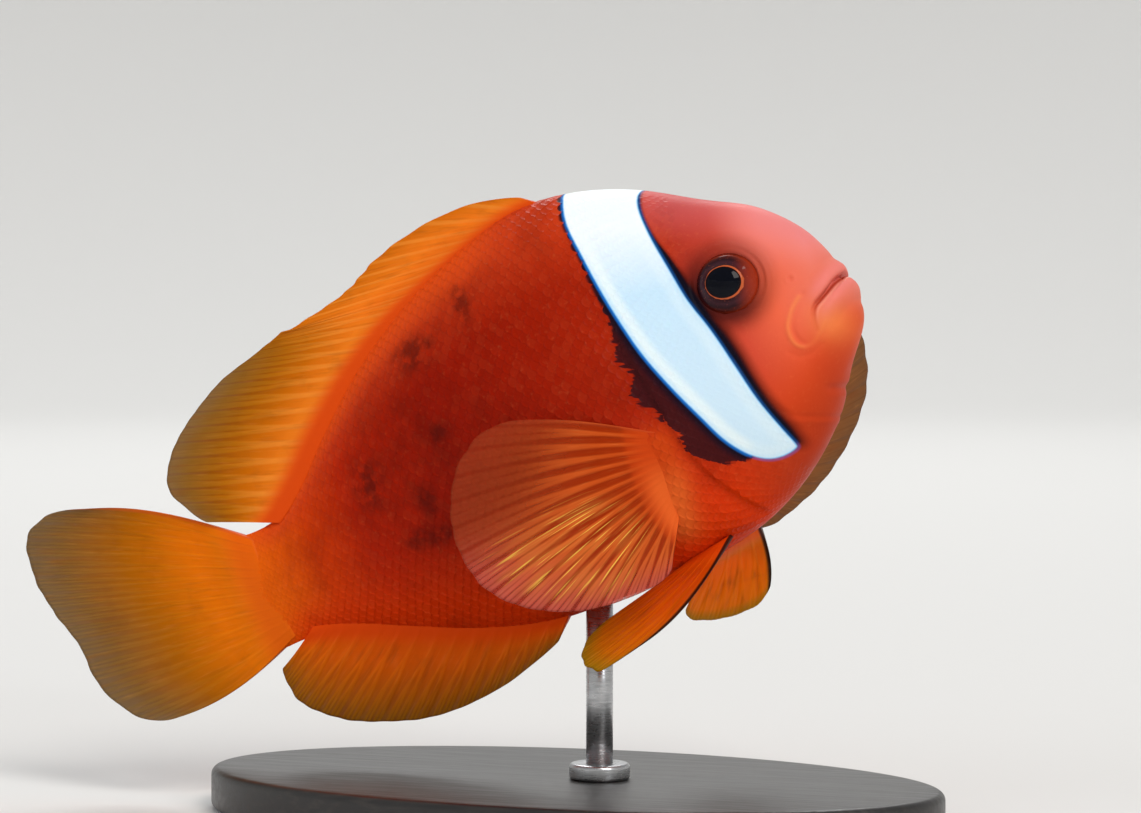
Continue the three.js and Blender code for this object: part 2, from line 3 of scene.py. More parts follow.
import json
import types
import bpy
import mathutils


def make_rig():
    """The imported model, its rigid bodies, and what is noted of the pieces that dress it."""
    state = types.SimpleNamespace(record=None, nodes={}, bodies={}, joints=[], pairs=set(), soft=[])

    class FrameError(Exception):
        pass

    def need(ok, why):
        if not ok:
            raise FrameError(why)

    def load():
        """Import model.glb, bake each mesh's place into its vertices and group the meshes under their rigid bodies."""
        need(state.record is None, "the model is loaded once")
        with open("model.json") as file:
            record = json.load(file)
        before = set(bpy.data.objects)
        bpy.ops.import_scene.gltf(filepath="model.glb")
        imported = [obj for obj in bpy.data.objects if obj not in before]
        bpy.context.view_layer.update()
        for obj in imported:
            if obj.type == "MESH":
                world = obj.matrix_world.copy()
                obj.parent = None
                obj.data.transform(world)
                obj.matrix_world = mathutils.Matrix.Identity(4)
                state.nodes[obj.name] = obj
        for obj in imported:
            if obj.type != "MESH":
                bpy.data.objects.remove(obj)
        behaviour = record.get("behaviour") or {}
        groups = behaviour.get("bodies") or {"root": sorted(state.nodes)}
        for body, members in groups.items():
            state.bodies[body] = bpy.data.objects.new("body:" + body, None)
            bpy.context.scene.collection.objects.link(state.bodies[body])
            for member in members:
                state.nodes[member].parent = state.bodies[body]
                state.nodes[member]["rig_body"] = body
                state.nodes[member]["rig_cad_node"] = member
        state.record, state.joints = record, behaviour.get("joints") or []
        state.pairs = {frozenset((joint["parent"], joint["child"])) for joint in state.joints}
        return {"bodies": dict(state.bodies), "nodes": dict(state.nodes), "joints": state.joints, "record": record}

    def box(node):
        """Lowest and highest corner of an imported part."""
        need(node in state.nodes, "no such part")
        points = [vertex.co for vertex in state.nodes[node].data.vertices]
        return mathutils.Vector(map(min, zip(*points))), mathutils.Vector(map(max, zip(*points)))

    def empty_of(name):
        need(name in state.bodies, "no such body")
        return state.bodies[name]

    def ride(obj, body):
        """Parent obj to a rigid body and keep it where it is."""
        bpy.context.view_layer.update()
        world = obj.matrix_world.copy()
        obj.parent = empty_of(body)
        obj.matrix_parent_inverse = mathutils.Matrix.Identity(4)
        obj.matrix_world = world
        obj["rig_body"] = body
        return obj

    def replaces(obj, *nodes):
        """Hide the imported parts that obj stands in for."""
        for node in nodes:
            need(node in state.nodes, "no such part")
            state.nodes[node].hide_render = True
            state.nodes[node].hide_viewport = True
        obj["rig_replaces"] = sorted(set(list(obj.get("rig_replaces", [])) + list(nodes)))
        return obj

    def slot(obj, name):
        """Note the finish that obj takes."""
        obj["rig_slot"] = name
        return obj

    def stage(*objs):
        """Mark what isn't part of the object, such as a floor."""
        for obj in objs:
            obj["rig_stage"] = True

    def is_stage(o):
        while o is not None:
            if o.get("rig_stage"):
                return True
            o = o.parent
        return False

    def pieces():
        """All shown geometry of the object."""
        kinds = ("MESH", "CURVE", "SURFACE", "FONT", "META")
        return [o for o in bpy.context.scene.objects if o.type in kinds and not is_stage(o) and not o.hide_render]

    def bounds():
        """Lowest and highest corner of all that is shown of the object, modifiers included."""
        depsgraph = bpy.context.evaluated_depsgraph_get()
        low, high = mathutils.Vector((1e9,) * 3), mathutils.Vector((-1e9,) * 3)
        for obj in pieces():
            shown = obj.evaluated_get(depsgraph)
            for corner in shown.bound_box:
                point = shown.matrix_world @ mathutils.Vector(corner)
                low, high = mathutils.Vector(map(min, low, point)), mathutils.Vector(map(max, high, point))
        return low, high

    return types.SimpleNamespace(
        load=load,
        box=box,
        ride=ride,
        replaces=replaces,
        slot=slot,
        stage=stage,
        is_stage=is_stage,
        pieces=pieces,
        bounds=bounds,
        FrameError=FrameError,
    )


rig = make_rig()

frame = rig.load()
cad_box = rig.bounds()

import json
import logging
import math
from collections.abc import Callable, Sequence
from dataclasses import dataclass, replace
from enum import Enum

import bpy
import numpy as np
from mathutils import Vector

logging.basicConfig(level=logging.INFO, format="%(message)s")
log = logging.getLogger("clownfish")

MM = 0.001
PITCH = math.radians(26)  # the fish swims nose up
BODY = "root"  # the one body that every piece rides on
SEED = 7


class Slot(Enum):
    """The material slots of the model."""

    SKIN = "skin"
    FIN = "fin"
    EYE = "eye"
    BASE = "stand_base"
    ROD = "stand_rod"


class Side(Enum):
    """A side of the fish, with its sign along y."""

    RIGHT = -1
    LEFT = 1

    def of(self, what: str) -> str:
        """Name what is on this side."""
        return f"{what}_{self.name.lower()}"


# The eyes, in the fish's own frame: millimetres, x forward from the tail root, y left, z towards the back.
EYE_CENTRE = np.array([67.4, 5.9, 6.6])
EYE_RADIUS = 3.55
EYE_DEPTH = 2.6
EYE_LOOK = np.array([0.26, 0.95, 0.14]) / np.linalg.norm([0.26, 0.95, 0.14])

# The body runs through three lines of matching stations, from the tail to the mouth. The first station lies
# inside the tail fin's thick root, which covers the skin's end, and the second is the tail root.
# Back and belly are x, z, and the flank is x, half width, z at the widest.
BACK = (
    (-4.6, 8.3), (-1.5, 7.4), (4, 7.2), (9, 9.8), (15, 14.3), (22, 18.8), (30, 22.5), (39, 25.1), (46.5, 26.1),
    (53.5, 24.85), (60.2, 21.95), (66.4, 17.8), (72.0, 13.9), (75.8, 9.4), (77.4, 5.5), (78.15, 2.6),
)
BELLY = (
    (-4.6, -6.9), (-1.5, -7.0), (4, -7.4), (9, -9.0), (15, -11.8), (22, -15.0), (30, -17.6), (38, -18.6), (46, -19.2),
    (53, -18.9), (59.0, -17.8), (64.8, -15.4), (70.0, -11.7), (73.9, -6.9), (77.9, -2.2), (78.15, 2.6),
)
FLANK = (
    (-4.6, 0.25, 0.4), (-1.5, 1.3, 0), (4, 2.1, 0), (9, 3.1, 0.4), (15, 4.6, 1.0), (22, 6.3, 1.6), (30, 7.8, 2.0),
    (38.5, 8.9, 1.8), (46.4, 9.5, 1.0), (53.4, 9.7, -0.4), (59.6, 9.3, -1.6), (65.4, 8.2, -1.8),
    (70.4, 6.6, -1.4), (74.2, 4.9, -0.4), (77.0, 3.1, 1.2), (78.15, 0, 2.6),
)
BACK_KEEL = (1.2, 1.3, 1.3, 1.25, 1.0, 0.9, 0.9)
BELLY_KEEL = (1.2, 1.3, 1.25, 1.05, 0.95, 0.9, 0.9)

LIPS_FRONT = (78.1, 2.65)
LIPS_CORNER = (74.8, 0.45)
GILL_SLIT = ((53.4, 11.5), (54.0, 9), (55.3, -1), (56.6, -10), (60.0, -18))

# Outlines of the markings on the side of the body, as x, z.
BAR_REAR = (
    (52.6, 30), (52.8, 24), (52.9, 21), (53.7, 16.8), (54.5, 12.2), (55.3, 8.0), (56.3, 3.5), (57.7, -0.9),
    (59.2, -5.1), (60.5, -8.8), (62.0, -11.2), (63.4, -12.3), (64.9, -12.6), (66.3, -12.3),
)
BAR_FRONT = (
    (66.4, -12.0), (66.1, -9.6), (65.5, -6.0), (64.9, -1.5), (64.1, 3.0), (63.0, 7.2), (62.3, 11.3), (61.5, 15.6),
    (61.0, 19.6), (61.2, 20.9), (62.1, 22.1), (63.0, 26), (62.0, 30),
)
REAR_BLACK = (
    (52.4, 30), (52.5, 24.0), (52.6, 21.5), (53.1, 18.4), (53.7, 14.8), (54.1, 10.8), (54.3, 8.5), (54.0, 6.9),
    (53.8, 5.6), (53.5, 4.0), (54.2, 2.6), (54.0, 1.4), (53.3, 0.3), (53.8, -0.9), (54.5, -2.0), (55.2, -3.2),
    (55.9, -4.9), (56.4, -6.1), (56.2, -7.5), (57.1, -9.1), (58.7, -10.5), (60.6, -11.2), (62.2, -11.4),
    (63.5, -10.0), (62.0, -4.0), (59.0, 8.0), (57.0, 20.0), (56.0, 30),
)
FRONT_BLACK = (
    (59.8, 30), (61.2, 21.5), (61.3, 18.2), (61.9, 15.0), (62.8, 12.2), (63.6, 9.2), (64.4, 6.4), (64.9, 3.6),
    (65.5, 1.5), (65.9, -1.0), (66.1, -3.6), (66.4, -6.6), (66.8, -8.8), (67.0, -10.6), (66.8, -12.0),
    (65.6, -11.0), (64.0, -5.0), (62.3, 2.0), (60.5, 12.0), (59.5, 20.0), (58.0, 30),
)


# ---------- lines and surfaces ----------


def smooth(value: np.ndarray, low: float, high: float) -> np.ndarray:
    """Ease from 0 at low to 1 at high."""
    share = np.clip((value - low) / (high - low), 0, 1)
    return share * share * (3 - 2 * share)


def through(knots: Sequence[float], t: np.ndarray) -> np.ndarray:
    """Read a smooth line through evenly spaced knots.

    Args:
        knots: Values at equal steps of t.
        t: Places along the line, from 0 to 1.

    Returns:
        The values there.
    """
    values = np.asarray(knots, float)
    last = len(values) - 1
    p = np.clip(t, 0, 1) * last
    i = np.minimum(p.astype(int), last - 1)
    w = p - i
    before, a, b, after = (values[np.clip(i + k, 0, last)] for k in (-1, 0, 1, 2))
    v0, v1 = (b - before) / 2, (after - a) / 2
    return (2 * a - 2 * b + v0 + v1) * w**3 + (3 * b - 3 * a - 2 * v0 - v1) * w**2 + v0 * w + a


def along_curve(knots: Sequence[Sequence[float]], t: np.ndarray) -> np.ndarray:
    """Read a centripetal Catmull-Rom curve, which doesn't overshoot where its knots are uneven.

    Args:
        knots: Points of the curve.
        t: Places along it, from 0 to 1, in equal steps from knot to knot.

    Returns:
        A point for each t.
    """
    k = np.asarray(knots, float)
    k = np.vstack([2 * k[0] - k[1], k, 2 * k[-1] - k[-2]])
    last = len(k) - 3
    p = np.clip(np.asarray(t, float), 0, 1) * last
    i = np.minimum(p.astype(int), last - 1)
    w = (p - i)[..., None]
    p0, p1, p2, p3 = (k[i + n] for n in range(4))
    d0, d1, d2 = (
        np.maximum(np.sum((b - a) ** 2, -1, keepdims=True) ** 0.25, 1e-4) for a, b in ((p0, p1), (p1, p2), (p2, p3))
    )
    m1 = ((p1 - p0) / d0 - (p2 - p0) / (d0 + d1) + (p2 - p1) / d1) * d1
    m2 = ((p2 - p1) / d1 - (p3 - p1) / (d1 + d2) + (p3 - p2) / d2) * d1
    return (2 * p1 - 2 * p2 + m1 + m2) * w**3 + (3 * p2 - 3 * p1 - 2 * m1 - m2) * w**2 + m1 * w + p1


def unit(vectors: np.ndarray) -> np.ndarray:
    """Scale vectors to a length of 1."""
    return vectors / np.maximum(np.linalg.norm(vectors, axis=-1, keepdims=True), 1e-12)


def distance_to(line: np.ndarray, places: np.ndarray) -> np.ndarray:
    """Measure how far flat places lie from a line of points.

    Args:
        line: The line's points, as rows of two.
        places: Places to measure from, with two values each.

    Returns:
        The distance from each place to the nearest part of the line.
    """
    best = np.full(places.shape[:-1], np.inf)
    for a, b in zip(line[:-1], line[1:]):
        way = b - a
        share = np.clip(((places - a) @ way) / (way @ way), 0, 1)
        best = np.minimum(best, np.linalg.norm(places - a - share[..., None] * way, axis=-1))
    return best


def depth_inside(outline: Sequence[Sequence[float]], places: np.ndarray, steps: int = 6) -> np.ndarray:
    """Measure how deep flat places lie inside a closed outline.

    Args:
        outline: Corners of the outline, which is rounded through them.
        places: Places to measure from, with two values each.
        steps: Points from corner to corner.

    Returns:
        The depth at each place, negative outside.
    """
    closed = [*outline, outline[0]]
    line = along_curve(closed, np.linspace(0, 1, steps * len(outline) + 1))
    inside = np.zeros(places.shape[:-1], bool)
    for a, b in zip(line[:-1], line[1:]):
        if a[1] == b[1]:
            continue
        crosses = (a[1] > places[..., 1]) != (b[1] > places[..., 1])
        at = a[0] + (places[..., 1] - a[1]) * (b[0] - a[0]) / (b[1] - a[1])
        inside ^= crosses & (places[..., 0] < at)
    return np.where(inside, 1, -1) * distance_to(line, places)


class FishFrame:
    """The fish's own frame, in millimetres, and how it stands in the model."""

    def __init__(self) -> None:
        """Find where the frame stands from the two eyes."""
        corners = [corner for node in ("eye_left", "eye_right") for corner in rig.box(node)]
        middle = np.mean([list(corner) for corner in corners], axis=0)
        self.origin = middle - self.turn(np.array([EYE_CENTRE[0], 0, EYE_CENTRE[2]])) * MM

    @staticmethod
    def turn(points: np.ndarray) -> np.ndarray:
        """Pitch points nose up.

        Args:
            points: Points in the fish's frame.

        Returns:
            The points, turned about the y axis.
        """
        x, y, z = points[..., 0], points[..., 1], points[..., 2]
        c, s = math.cos(PITCH), math.sin(PITCH)
        return np.stack([x * c - z * s, y, x * s + z * c], -1)

    def place(self, points: np.ndarray) -> np.ndarray:
        """Carry points from the fish's frame to the model, in metres."""
        return self.turn(points) * MM + self.origin


class BodyShape:
    """The fish's body as a surface over two values: t along it, and the angle round it."""

    SKIN_DEPTH = 0.22  # the scales' depth, which the skin lies inside the solids by

    def __init__(self) -> None:
        """Measure the body's girth, so that rows of scales can follow it."""
        self.stations = np.linspace(0, 1, 241)
        angles = np.linspace(0, math.pi, 241)
        t, angle = np.meshgrid(self.stations, angles, indexing="ij")
        step = np.linalg.norm(np.diff(self.loft(t, angle), axis=1), axis=-1)
        arc = np.concatenate([np.zeros((len(self.stations), 1)), np.cumsum(step, 1)], 1)
        middle = arc[:, [120]]
        self.upper = middle[:, 0]
        self.lower = (arc[:, -1:] - middle)[:, 0]
        up = (middle - arc) / np.maximum(np.where(angle < math.pi / 2, self.upper[:, None], self.lower[:, None]), 1e-6)
        self.levels = np.linspace(-1, 1, 201)
        self.level_angles = np.array([np.interp(self.levels, row[::-1], angles[::-1]) for row in up])
        self.station_x = along_curve(FLANK, self.stations)[:, 0]

    @staticmethod
    def loft(t: np.ndarray, angle: np.ndarray) -> np.ndarray:
        """Read the plain body.

        Args:
            t: From 0 inside the tail fin's root to 1 at the mouth.
            angle: Round the body from the back, down the left side and up the right.

        Returns:
            Points in the fish's frame.
        """
        flank, back, belly = (along_curve(line, t) for line in (FLANK, BACK, BELLY))
        upper = np.cos(angle) >= 0
        edge = np.where(upper[..., None], back, belly)
        stations = len(FLANK) - 1
        ahead = (stations * t - 1) / (stations - 1)  # from 0 at the tail root
        keel = np.where(upper, through(BACK_KEEL, ahead), through(BELLY_KEEL, ahead))
        side, reach = np.sin(angle), np.abs(np.cos(angle))
        x = flank[..., 0] + (edge[..., 0] - flank[..., 0]) * reach
        y = np.sign(side) * flank[..., 1] * np.abs(side) ** keel
        z = flank[..., 2] + (edge[..., 1] - flank[..., 2]) * reach
        return np.stack([x, y, z], -1)

    def normals(self, t: np.ndarray, angle: np.ndarray) -> np.ndarray:
        """Read the way that the plain body faces.

        Args:
            t: Place along the body.
            angle: Angle round it.

        Returns:
            A unit vector for each place.
        """
        step = 1e-3
        onward = self.loft(np.minimum(t + step, 1), angle) - self.loft(np.maximum(t - step, 0), angle)
        round_it = self.loft(t, angle + 6 * step) - self.loft(t, angle - 6 * step)
        return unit(np.cross(onward, round_it))

    def skin(self, t: np.ndarray, angle: np.ndarray, lift: np.ndarray | float = 0) -> np.ndarray:
        """Read the sculpted skin.

        Args:
            t: From 0 inside the tail fin's root to 1 at the mouth.
            angle: Round the body from the back.
            lift: Millimetres outwards from the skin.

        Returns:
            Points in the fish's frame.
        """
        plain = self.loft(t, angle)
        out = self.normals(t, angle)
        thin = 0.85 * smooth(plain[..., 0], 68, 73)
        offset = HeadRelief().height(plain) - self.SKIN_DEPTH * (1 - thin) + lift
        return HeadRelief().seat_eyes(plain + out * offset[..., None])

    def angle_at(self, t: np.ndarray, level: np.ndarray) -> np.ndarray:
        """Find the angle of a level on the left side.

        Args:
            t: Place along the body.
            level: 1 on the back, 0 along the midline and -1 on the belly, in equal steps of girth.

        Returns:
            The angle, carried on over the back or belly where the level passes 1 or -1.
        """
        over = np.where(level > 1, 2 - level, np.where(level < -1, -2 - level, level))
        row = np.clip(t, 0, 1) * (len(self.stations) - 1)
        column = (over + 1) / 2 * (len(self.levels) - 1)
        i = np.clip(row.astype(int), 0, len(self.stations) - 2)
        j = np.clip(column.astype(int), 0, len(self.levels) - 2)
        u, v = row - i, column - j
        a = self.level_angles
        angle = (a[i, j] * (1 - v) + a[i, j + 1] * v) * (1 - u) + (a[i + 1, j] * (1 - v) + a[i + 1, j + 1] * v) * u
        return np.where(level > 1, -angle, np.where(level < -1, 2 * math.pi - angle, angle))

    def t_at(self, x: np.ndarray) -> np.ndarray:
        """Find the station whose widest point is at x."""
        return np.interp(x, self.station_x, self.stations)

    def height_at(self, line: Sequence[Sequence[float]], x: np.ndarray) -> np.ndarray:
        """Find the height of the back or the belly at x."""
        knots = along_curve(line, np.linspace(0, 0.97, 400))
        return np.interp(x, knots[:, 0], knots[:, 1])

    def half_width(self, x: float, z: float) -> float:
        """Find half the body's width.

        Args:
            x: Place along the body.
            z: Height.

        Returns:
            The width from the middle plane to the flank.
        """
        t, angle = np.meshgrid(np.arange(0, 1, 0.01), np.arange(0.05, math.pi, 0.05), indexing="ij")
        points = self.loft(t, angle).reshape(-1, 3)
        return float(points[np.argmin(np.hypot(points[:, 0] - x, points[:, 2] - z)), 1])


@dataclass(frozen=True)
class HeadRelief:
    """The folds, lips, nostrils, eye seats and gill slits that stand out from the plain body or sink into it."""

    chin: float = 0.25
    lip_swell: float = 0.42
    lip_offset: float = 0.95
    lip_width: float = 0.85
    slit_depth: float = 0.85
    slit_width: float = 0.24
    nostril: tuple[float, float] = (73.7, 4.3)
    slit: tuple[tuple[float, float], ...] = (
        (79.0, 3.2), (77.9, 2.5), (76.8, 1.65), (75.8, 1.05), (74.9, 0.55), (74.4, -0.1), (74.1, -0.9), (73.95, -1.9),
    )
    cheek_bone: tuple[tuple[float, float], ...] = (
        (73.8, 2.1), (73.0, 1.5), (72.2, 0.6), (71.6, -0.4), (71.4, -1.4), (71.6, -2.5), (72.3, -3.1), (73.3, -2.9),
        (74.2, -2.2), (75.2, -1.4),
    )
    cheek_fold: tuple[tuple[float, float], ...] = ((70.6, -3.0), (71.4, -3.9), (72.6, -4.0), (73.8, -3.5))
    gill_ridge: tuple[tuple[float, float], ...] = ((64.6, -1.0), (65.3, -5.0), (66.9, -9.0), (70.0, -11.0))
    throat_fold: tuple[tuple[float, float], ...] = ((73.4, -8.9), (72.0, -8.0), (71.0, -6.9))
    fin_base: tuple[tuple[float, float], ...] = ((54.9, -6.2), (54.2, -10.0), (52.6, -14.2))

    @staticmethod
    def crease(line: Sequence[Sequence[float]], places: np.ndarray, width: float) -> np.ndarray:
        """Read how near places are to a smooth line, 1 on it and fading over width."""
        dense = along_curve(line, np.linspace(0, 1, 8 * len(line)))
        return np.exp(-((distance_to(dense, places) / width) ** 2))

    def height(self, points: np.ndarray) -> np.ndarray:
        """Read how far the sculpted skin stands out from the plain body.

        Args:
            points: Points of the plain body.

        Returns:
            Millimetres outwards, negative inwards.
        """
        x, z = points[..., 0], points[..., 2]
        rise = np.zeros(x.shape)
        near = x > 46
        side = np.stack([x, z], -1)[near]
        rise[near] = self.head_height(side, np.abs(points[..., 1])[near])
        return rise

    def head_height(self, side: np.ndarray, width: np.ndarray) -> np.ndarray:
        """Read the relief of the head from the side.

        Args:
            side: Places as x, z.
            width: How far each place is from the middle plane.

        Returns:
            Millimetres outwards, negative inwards.
        """
        x, z = side[..., 0], side[..., 1]
        ahead, above = self.from_mouth(side)
        mouth = smooth(ahead, -0.8, 1.6)
        rise = self.lip_swell * np.exp(-(((np.abs(above) - self.lip_offset) / self.lip_width) ** 2)) * mouth
        rise -= self.slit_depth * self.crease(self.slit, side, self.slit_width) * (0.1 + 0.9 * smooth(x, 73.9, 75.6))
        rise -= 0.08 * np.exp(-(((above - 2.5) / 0.5) ** 2)) * mouth
        rise -= 0.12 * np.exp(-(((above + 2.6) / 0.45) ** 2)) * mouth
        rise += self.chin * np.exp(-(((x - 78.1) / 1.6) ** 2) - ((z - 0.5) / 1.3) ** 2)
        bone = 1 - 0.6 * smooth(x - 0.5 * z, 73.2, 74.6)
        rise += 0.2 * self.crease(self.cheek_bone, side, 0.3) * bone
        rise -= 0.16 * self.crease(self.cheek_bone, side - [0.45, 0.1], 0.3) * bone
        rise -= 0.10 * self.crease(self.cheek_fold, side, 0.3)
        rise -= 0.26 * self.crease(self.throat_fold, side, 0.5) * (1 - smooth(width, 2.5, 4.5))
        rise += 0.42 * self.crease(self.fin_base, side, 2.2) * smooth(width, 3, 5)
        rise += 0.10 * self.crease(self.gill_ridge, side, 0.6)
        rise -= 0.12 * self.crease(self.gill_ridge, side - [0.7, 0], 0.35)
        pit = np.hypot(x - self.nostril[0], z - self.nostril[1])
        rise += 0.08 * np.exp(-(((pit - 0.45) / 0.2) ** 2)) - 0.2 * np.exp(-((pit / 0.22) ** 2))
        return rise + self.gill_step(side, width)

    @staticmethod
    def from_mouth(side: np.ndarray) -> tuple[np.ndarray, np.ndarray]:
        """Measure places on the side of the head from the mouth.

        Args:
            side: Places as x, z.

        Returns:
            Millimetres ahead of the mouth's corner, and above the line between the lips.
        """
        slope = math.atan2(LIPS_FRONT[1] - LIPS_CORNER[1], LIPS_FRONT[0] - LIPS_CORNER[0])
        ahead, up = side[..., 0] - LIPS_CORNER[0], side[..., 1] - LIPS_CORNER[1]
        return ahead, up * math.cos(slope) - ahead * math.sin(slope) + 0.14 * np.sin(ahead * 0.85)

    def marks(self, points: np.ndarray) -> dict[str, np.ndarray]:
        """Read where the colour follows the relief: in the folds, on the lips and on the cheek bone, where painted
        shade darkens the mouth's slit and the eye sockets, and painted highlights light the cheek bone's ridge and the
        lower lip's rim.

        Args:
            points: Points in the fish's frame.

        Returns:
            Named values, one number for each point.
        """
        side = points[:, [0, 2]]
        ahead, above = self.from_mouth(side)
        x, z = side[:, 0], side[:, 1]
        distance, wide = np.maximum(self.from_eye(points)[0], 1e-3), np.abs(points[:, 1])
        behind = (0.8 * (EYE_CENTRE[0] - x) + 0.6 * (EYE_CENTRE[2] - z)) / distance
        return {
            # Painted shade in the mouth's slit.
            "fold": self.crease(self.slit, side, 0.26) * (0.15 + 0.85 * smooth(x, 73.9, 75.4)),
            # Painted highlight along the lower lip's rim, just below the slit.
            "lip_rim": self.crease(self.slit, side - [0.25, -0.33], 0.17) * smooth(x, 74.2, 75.2),
            "lip": np.exp(-(((np.abs(above) - 0.9) / 0.8) ** 2)) * smooth(ahead, -0.8, 1.4),
            # Painted highlight along the cheek bone's ridge.
            "ridge": self.crease(self.cheek_bone, side, 0.22) * (1 - 0.7 * smooth(x - 0.5 * z, 73.0, 74.4)),
            "jaw": np.exp(-(((x - 75.6) / 1.9) ** 2) - ((z + 1.6) / 2.4) ** 2),
            "pad": np.minimum(1.3 * self.crease(self.fin_base, side + [1.3, 0], 1.9), 1) * smooth(wide, 3, 5),
            "pad_foot": smooth(-z, 7, 12),
            # Painted shade in the eye socket, deepest behind and below the eye.
            "socket": np.exp(-((np.clip(distance - 3.5, 0, 9) / 1.5) ** 2)) * (0.2 + 0.8 * smooth(behind, -0.8, 0.7)),
        }

    @staticmethod
    def gill_step(side: np.ndarray, width: np.ndarray) -> np.ndarray:
        """Read the step down from the gill cover's rear edge to the breast behind it.

        Args:
            side: Places as x, z.
            width: How far each place is from the middle plane.

        Returns:
            Millimetres outwards, negative inwards.
        """
        x, z = side[..., 0], side[..., 1]
        knots = along_curve(GILL_SLIT, np.linspace(0, 1, 60))[::-1]
        behind = np.interp(z, knots[:, 1], knots[:, 0]) - x
        reach = smooth(z, -19, -16) * (1 - smooth(z, 7.5, 11.0))
        step = smooth(behind, -0.25, 0.1) * (1 - smooth(behind, 0.4, 3.2))
        return -0.34 * reach * step * smooth(width, 1, 3)

    @staticmethod
    def from_eye(points: np.ndarray) -> tuple[np.ndarray, np.ndarray, np.ndarray]:
        """Measure points from the eye on their own side.

        Args:
            points: Points in the fish's frame.

        Returns:
            Distance from the line the eye looks along, height along that line, and the line for each point.
        """
        side = np.where(points[..., 1:2] >= 0, 1.0, -1.0)
        mirror = np.concatenate([np.ones_like(side), side, np.ones_like(side)], -1)
        look = EYE_LOOK * mirror
        offset = points - EYE_CENTRE * mirror
        height = np.sum(offset * look, -1)
        return np.linalg.norm(offset - height[..., None] * look, axis=-1), height, look

    def seat_eyes(self, points: np.ndarray) -> np.ndarray:
        """Hollow the eye sockets and roll their rims against the eyeballs.

        Args:
            points: Points of the skin.

        Returns:
            The same points, moved along the way the eye looks.
        """
        radius, height, look = self.from_eye(points)
        inside = np.clip(1 - (radius / EYE_RADIUS) ** 2, 0, None)
        ball = EYE_DEPTH * np.sqrt(inside)
        rim = 0.86 + 0.10 * np.cos((radius - 3.62) * 9.0)
        hold = smooth(height, -3.0, -1.0) * (1 - smooth(radius, 3.7, 5.4))
        raised = height + (np.maximum(rim, height) - height) * hold
        fold = 0.06 * np.exp(-(((radius - 4.4) / 0.3) ** 2)) - 0.07 * np.exp(-(((radius - 4.0) / 0.2) ** 2))
        over = smooth(points[..., 2] - 0.4 * points[..., 0], EYE_CENTRE[2] - 0.4 * EYE_CENTRE[0], 16 - 27)
        fold -= 0.10 * over * (np.exp(-(((radius - 5.0) / 0.16) ** 2)) + np.exp(-(((radius - 5.7) / 0.18) ** 2)))
        raised = raised + fold * smooth(height, -3.0, -1.0)
        sunk = np.minimum(raised, ball - 0.7)
        share = 1 - smooth(radius, 3.12, 3.42)
        moved = raised + (sunk - raised) * share * smooth(height, -3.0, -1.0)
        return points + (moved - height)[..., None] * look


# ---------- meshes and materials ----------


def make_mesh(
    name: str,
    points: np.ndarray,
    faces: Sequence[np.ndarray],
    values: dict[str, np.ndarray] | None = None,
    patches: np.ndarray | None = None,
) -> bpy.types.Object:
    """Make a smooth-shaded mesh object.

    Args:
        name: The piece's name.
        points: Vertices, in metres, in the model's frame.
        faces: Blocks of faces with the same number of corners.
        values: Named values at the vertices: one number or three each.
        patches: Places of the vertices on the OFBake map.

    Returns:
        The object, linked to the scene.
    """
    mesh = bpy.data.meshes.new(name)
    corners = np.concatenate([block.reshape(-1) for block in faces])
    sizes = np.concatenate([np.full(len(block), block.shape[1]) for block in faces])
    mesh.vertices.add(len(points))
    mesh.vertices.foreach_set("co", np.ascontiguousarray(points, np.float32).ravel())
    mesh.loops.add(len(corners))
    mesh.loops.foreach_set("vertex_index", corners.astype(np.int32))
    mesh.polygons.add(len(sizes))
    mesh.polygons.foreach_set("loop_start", np.concatenate([[0], np.cumsum(sizes)[:-1]]).astype(np.int32))
    mesh.polygons.foreach_set("use_smooth", np.ones(len(sizes), bool))
    for key, value in (values or {}).items():
        kind, slot = ("FLOAT", "value") if value.ndim == 1 else ("FLOAT_VECTOR", "vector")
        mesh.attributes.new(key, kind, "POINT").data.foreach_set(slot, value.astype(np.float32).ravel())
    if patches is not None:
        mesh.uv_layers.new(name="OFBake").data.foreach_set("uv", patches[corners].astype(np.float32).ravel())
    mesh.update(calc_edges=True)
    mesh.validate()
    made = bpy.data.objects.new(name, mesh)
    bpy.context.scene.collection.objects.link(made)
    return made


def grid_faces(rows: int, columns: int, closed: bool = False, start: int = 0) -> np.ndarray:
    """List the quads of a grid of points.

    Args:
        rows: Rows of points.
        columns: Points in a row.
        closed: Whether each row closes on itself.
        start: Number of the grid's first point.

    Returns:
        Four point numbers for each quad.
    """
    i, j = np.meshgrid(np.arange(rows - 1), np.arange(columns if closed else columns - 1), indexing="ij")
    a = (i * columns + j).ravel()
    b = (i * columns + (j + 1) % columns).ravel()
    return start + np.stack([a, b, b + columns, a + columns], 1)


def ride(piece: bpy.types.Object, slot: Slot, replaced: Sequence[str] = ()) -> None:
    """Fix a piece to the body, name its material slot and the solids it stands for, and report it.

    Args:
        piece: The piece.
        slot: Its material slot.
        replaced: The solids that it is shown in place of.
    """
    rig.ride(piece, BODY)
    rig.slot(piece, slot.value)
    if replaced:
        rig.replaces(piece, *replaced)
    log.info("%s: %d faces", piece.name, len(piece.data.polygons))


def linear(colour: str) -> tuple[float, float, float, float]:
    """Turn an sRGB hex colour into linear values with an alpha of 1."""
    parts = [int(colour[i : i + 2], 16) / 255 for i in (0, 2, 4)]
    return (*(p / 12.92 if p <= 0.04045 else ((p + 0.055) / 1.055) ** 2.4 for p in parts), 1.0)


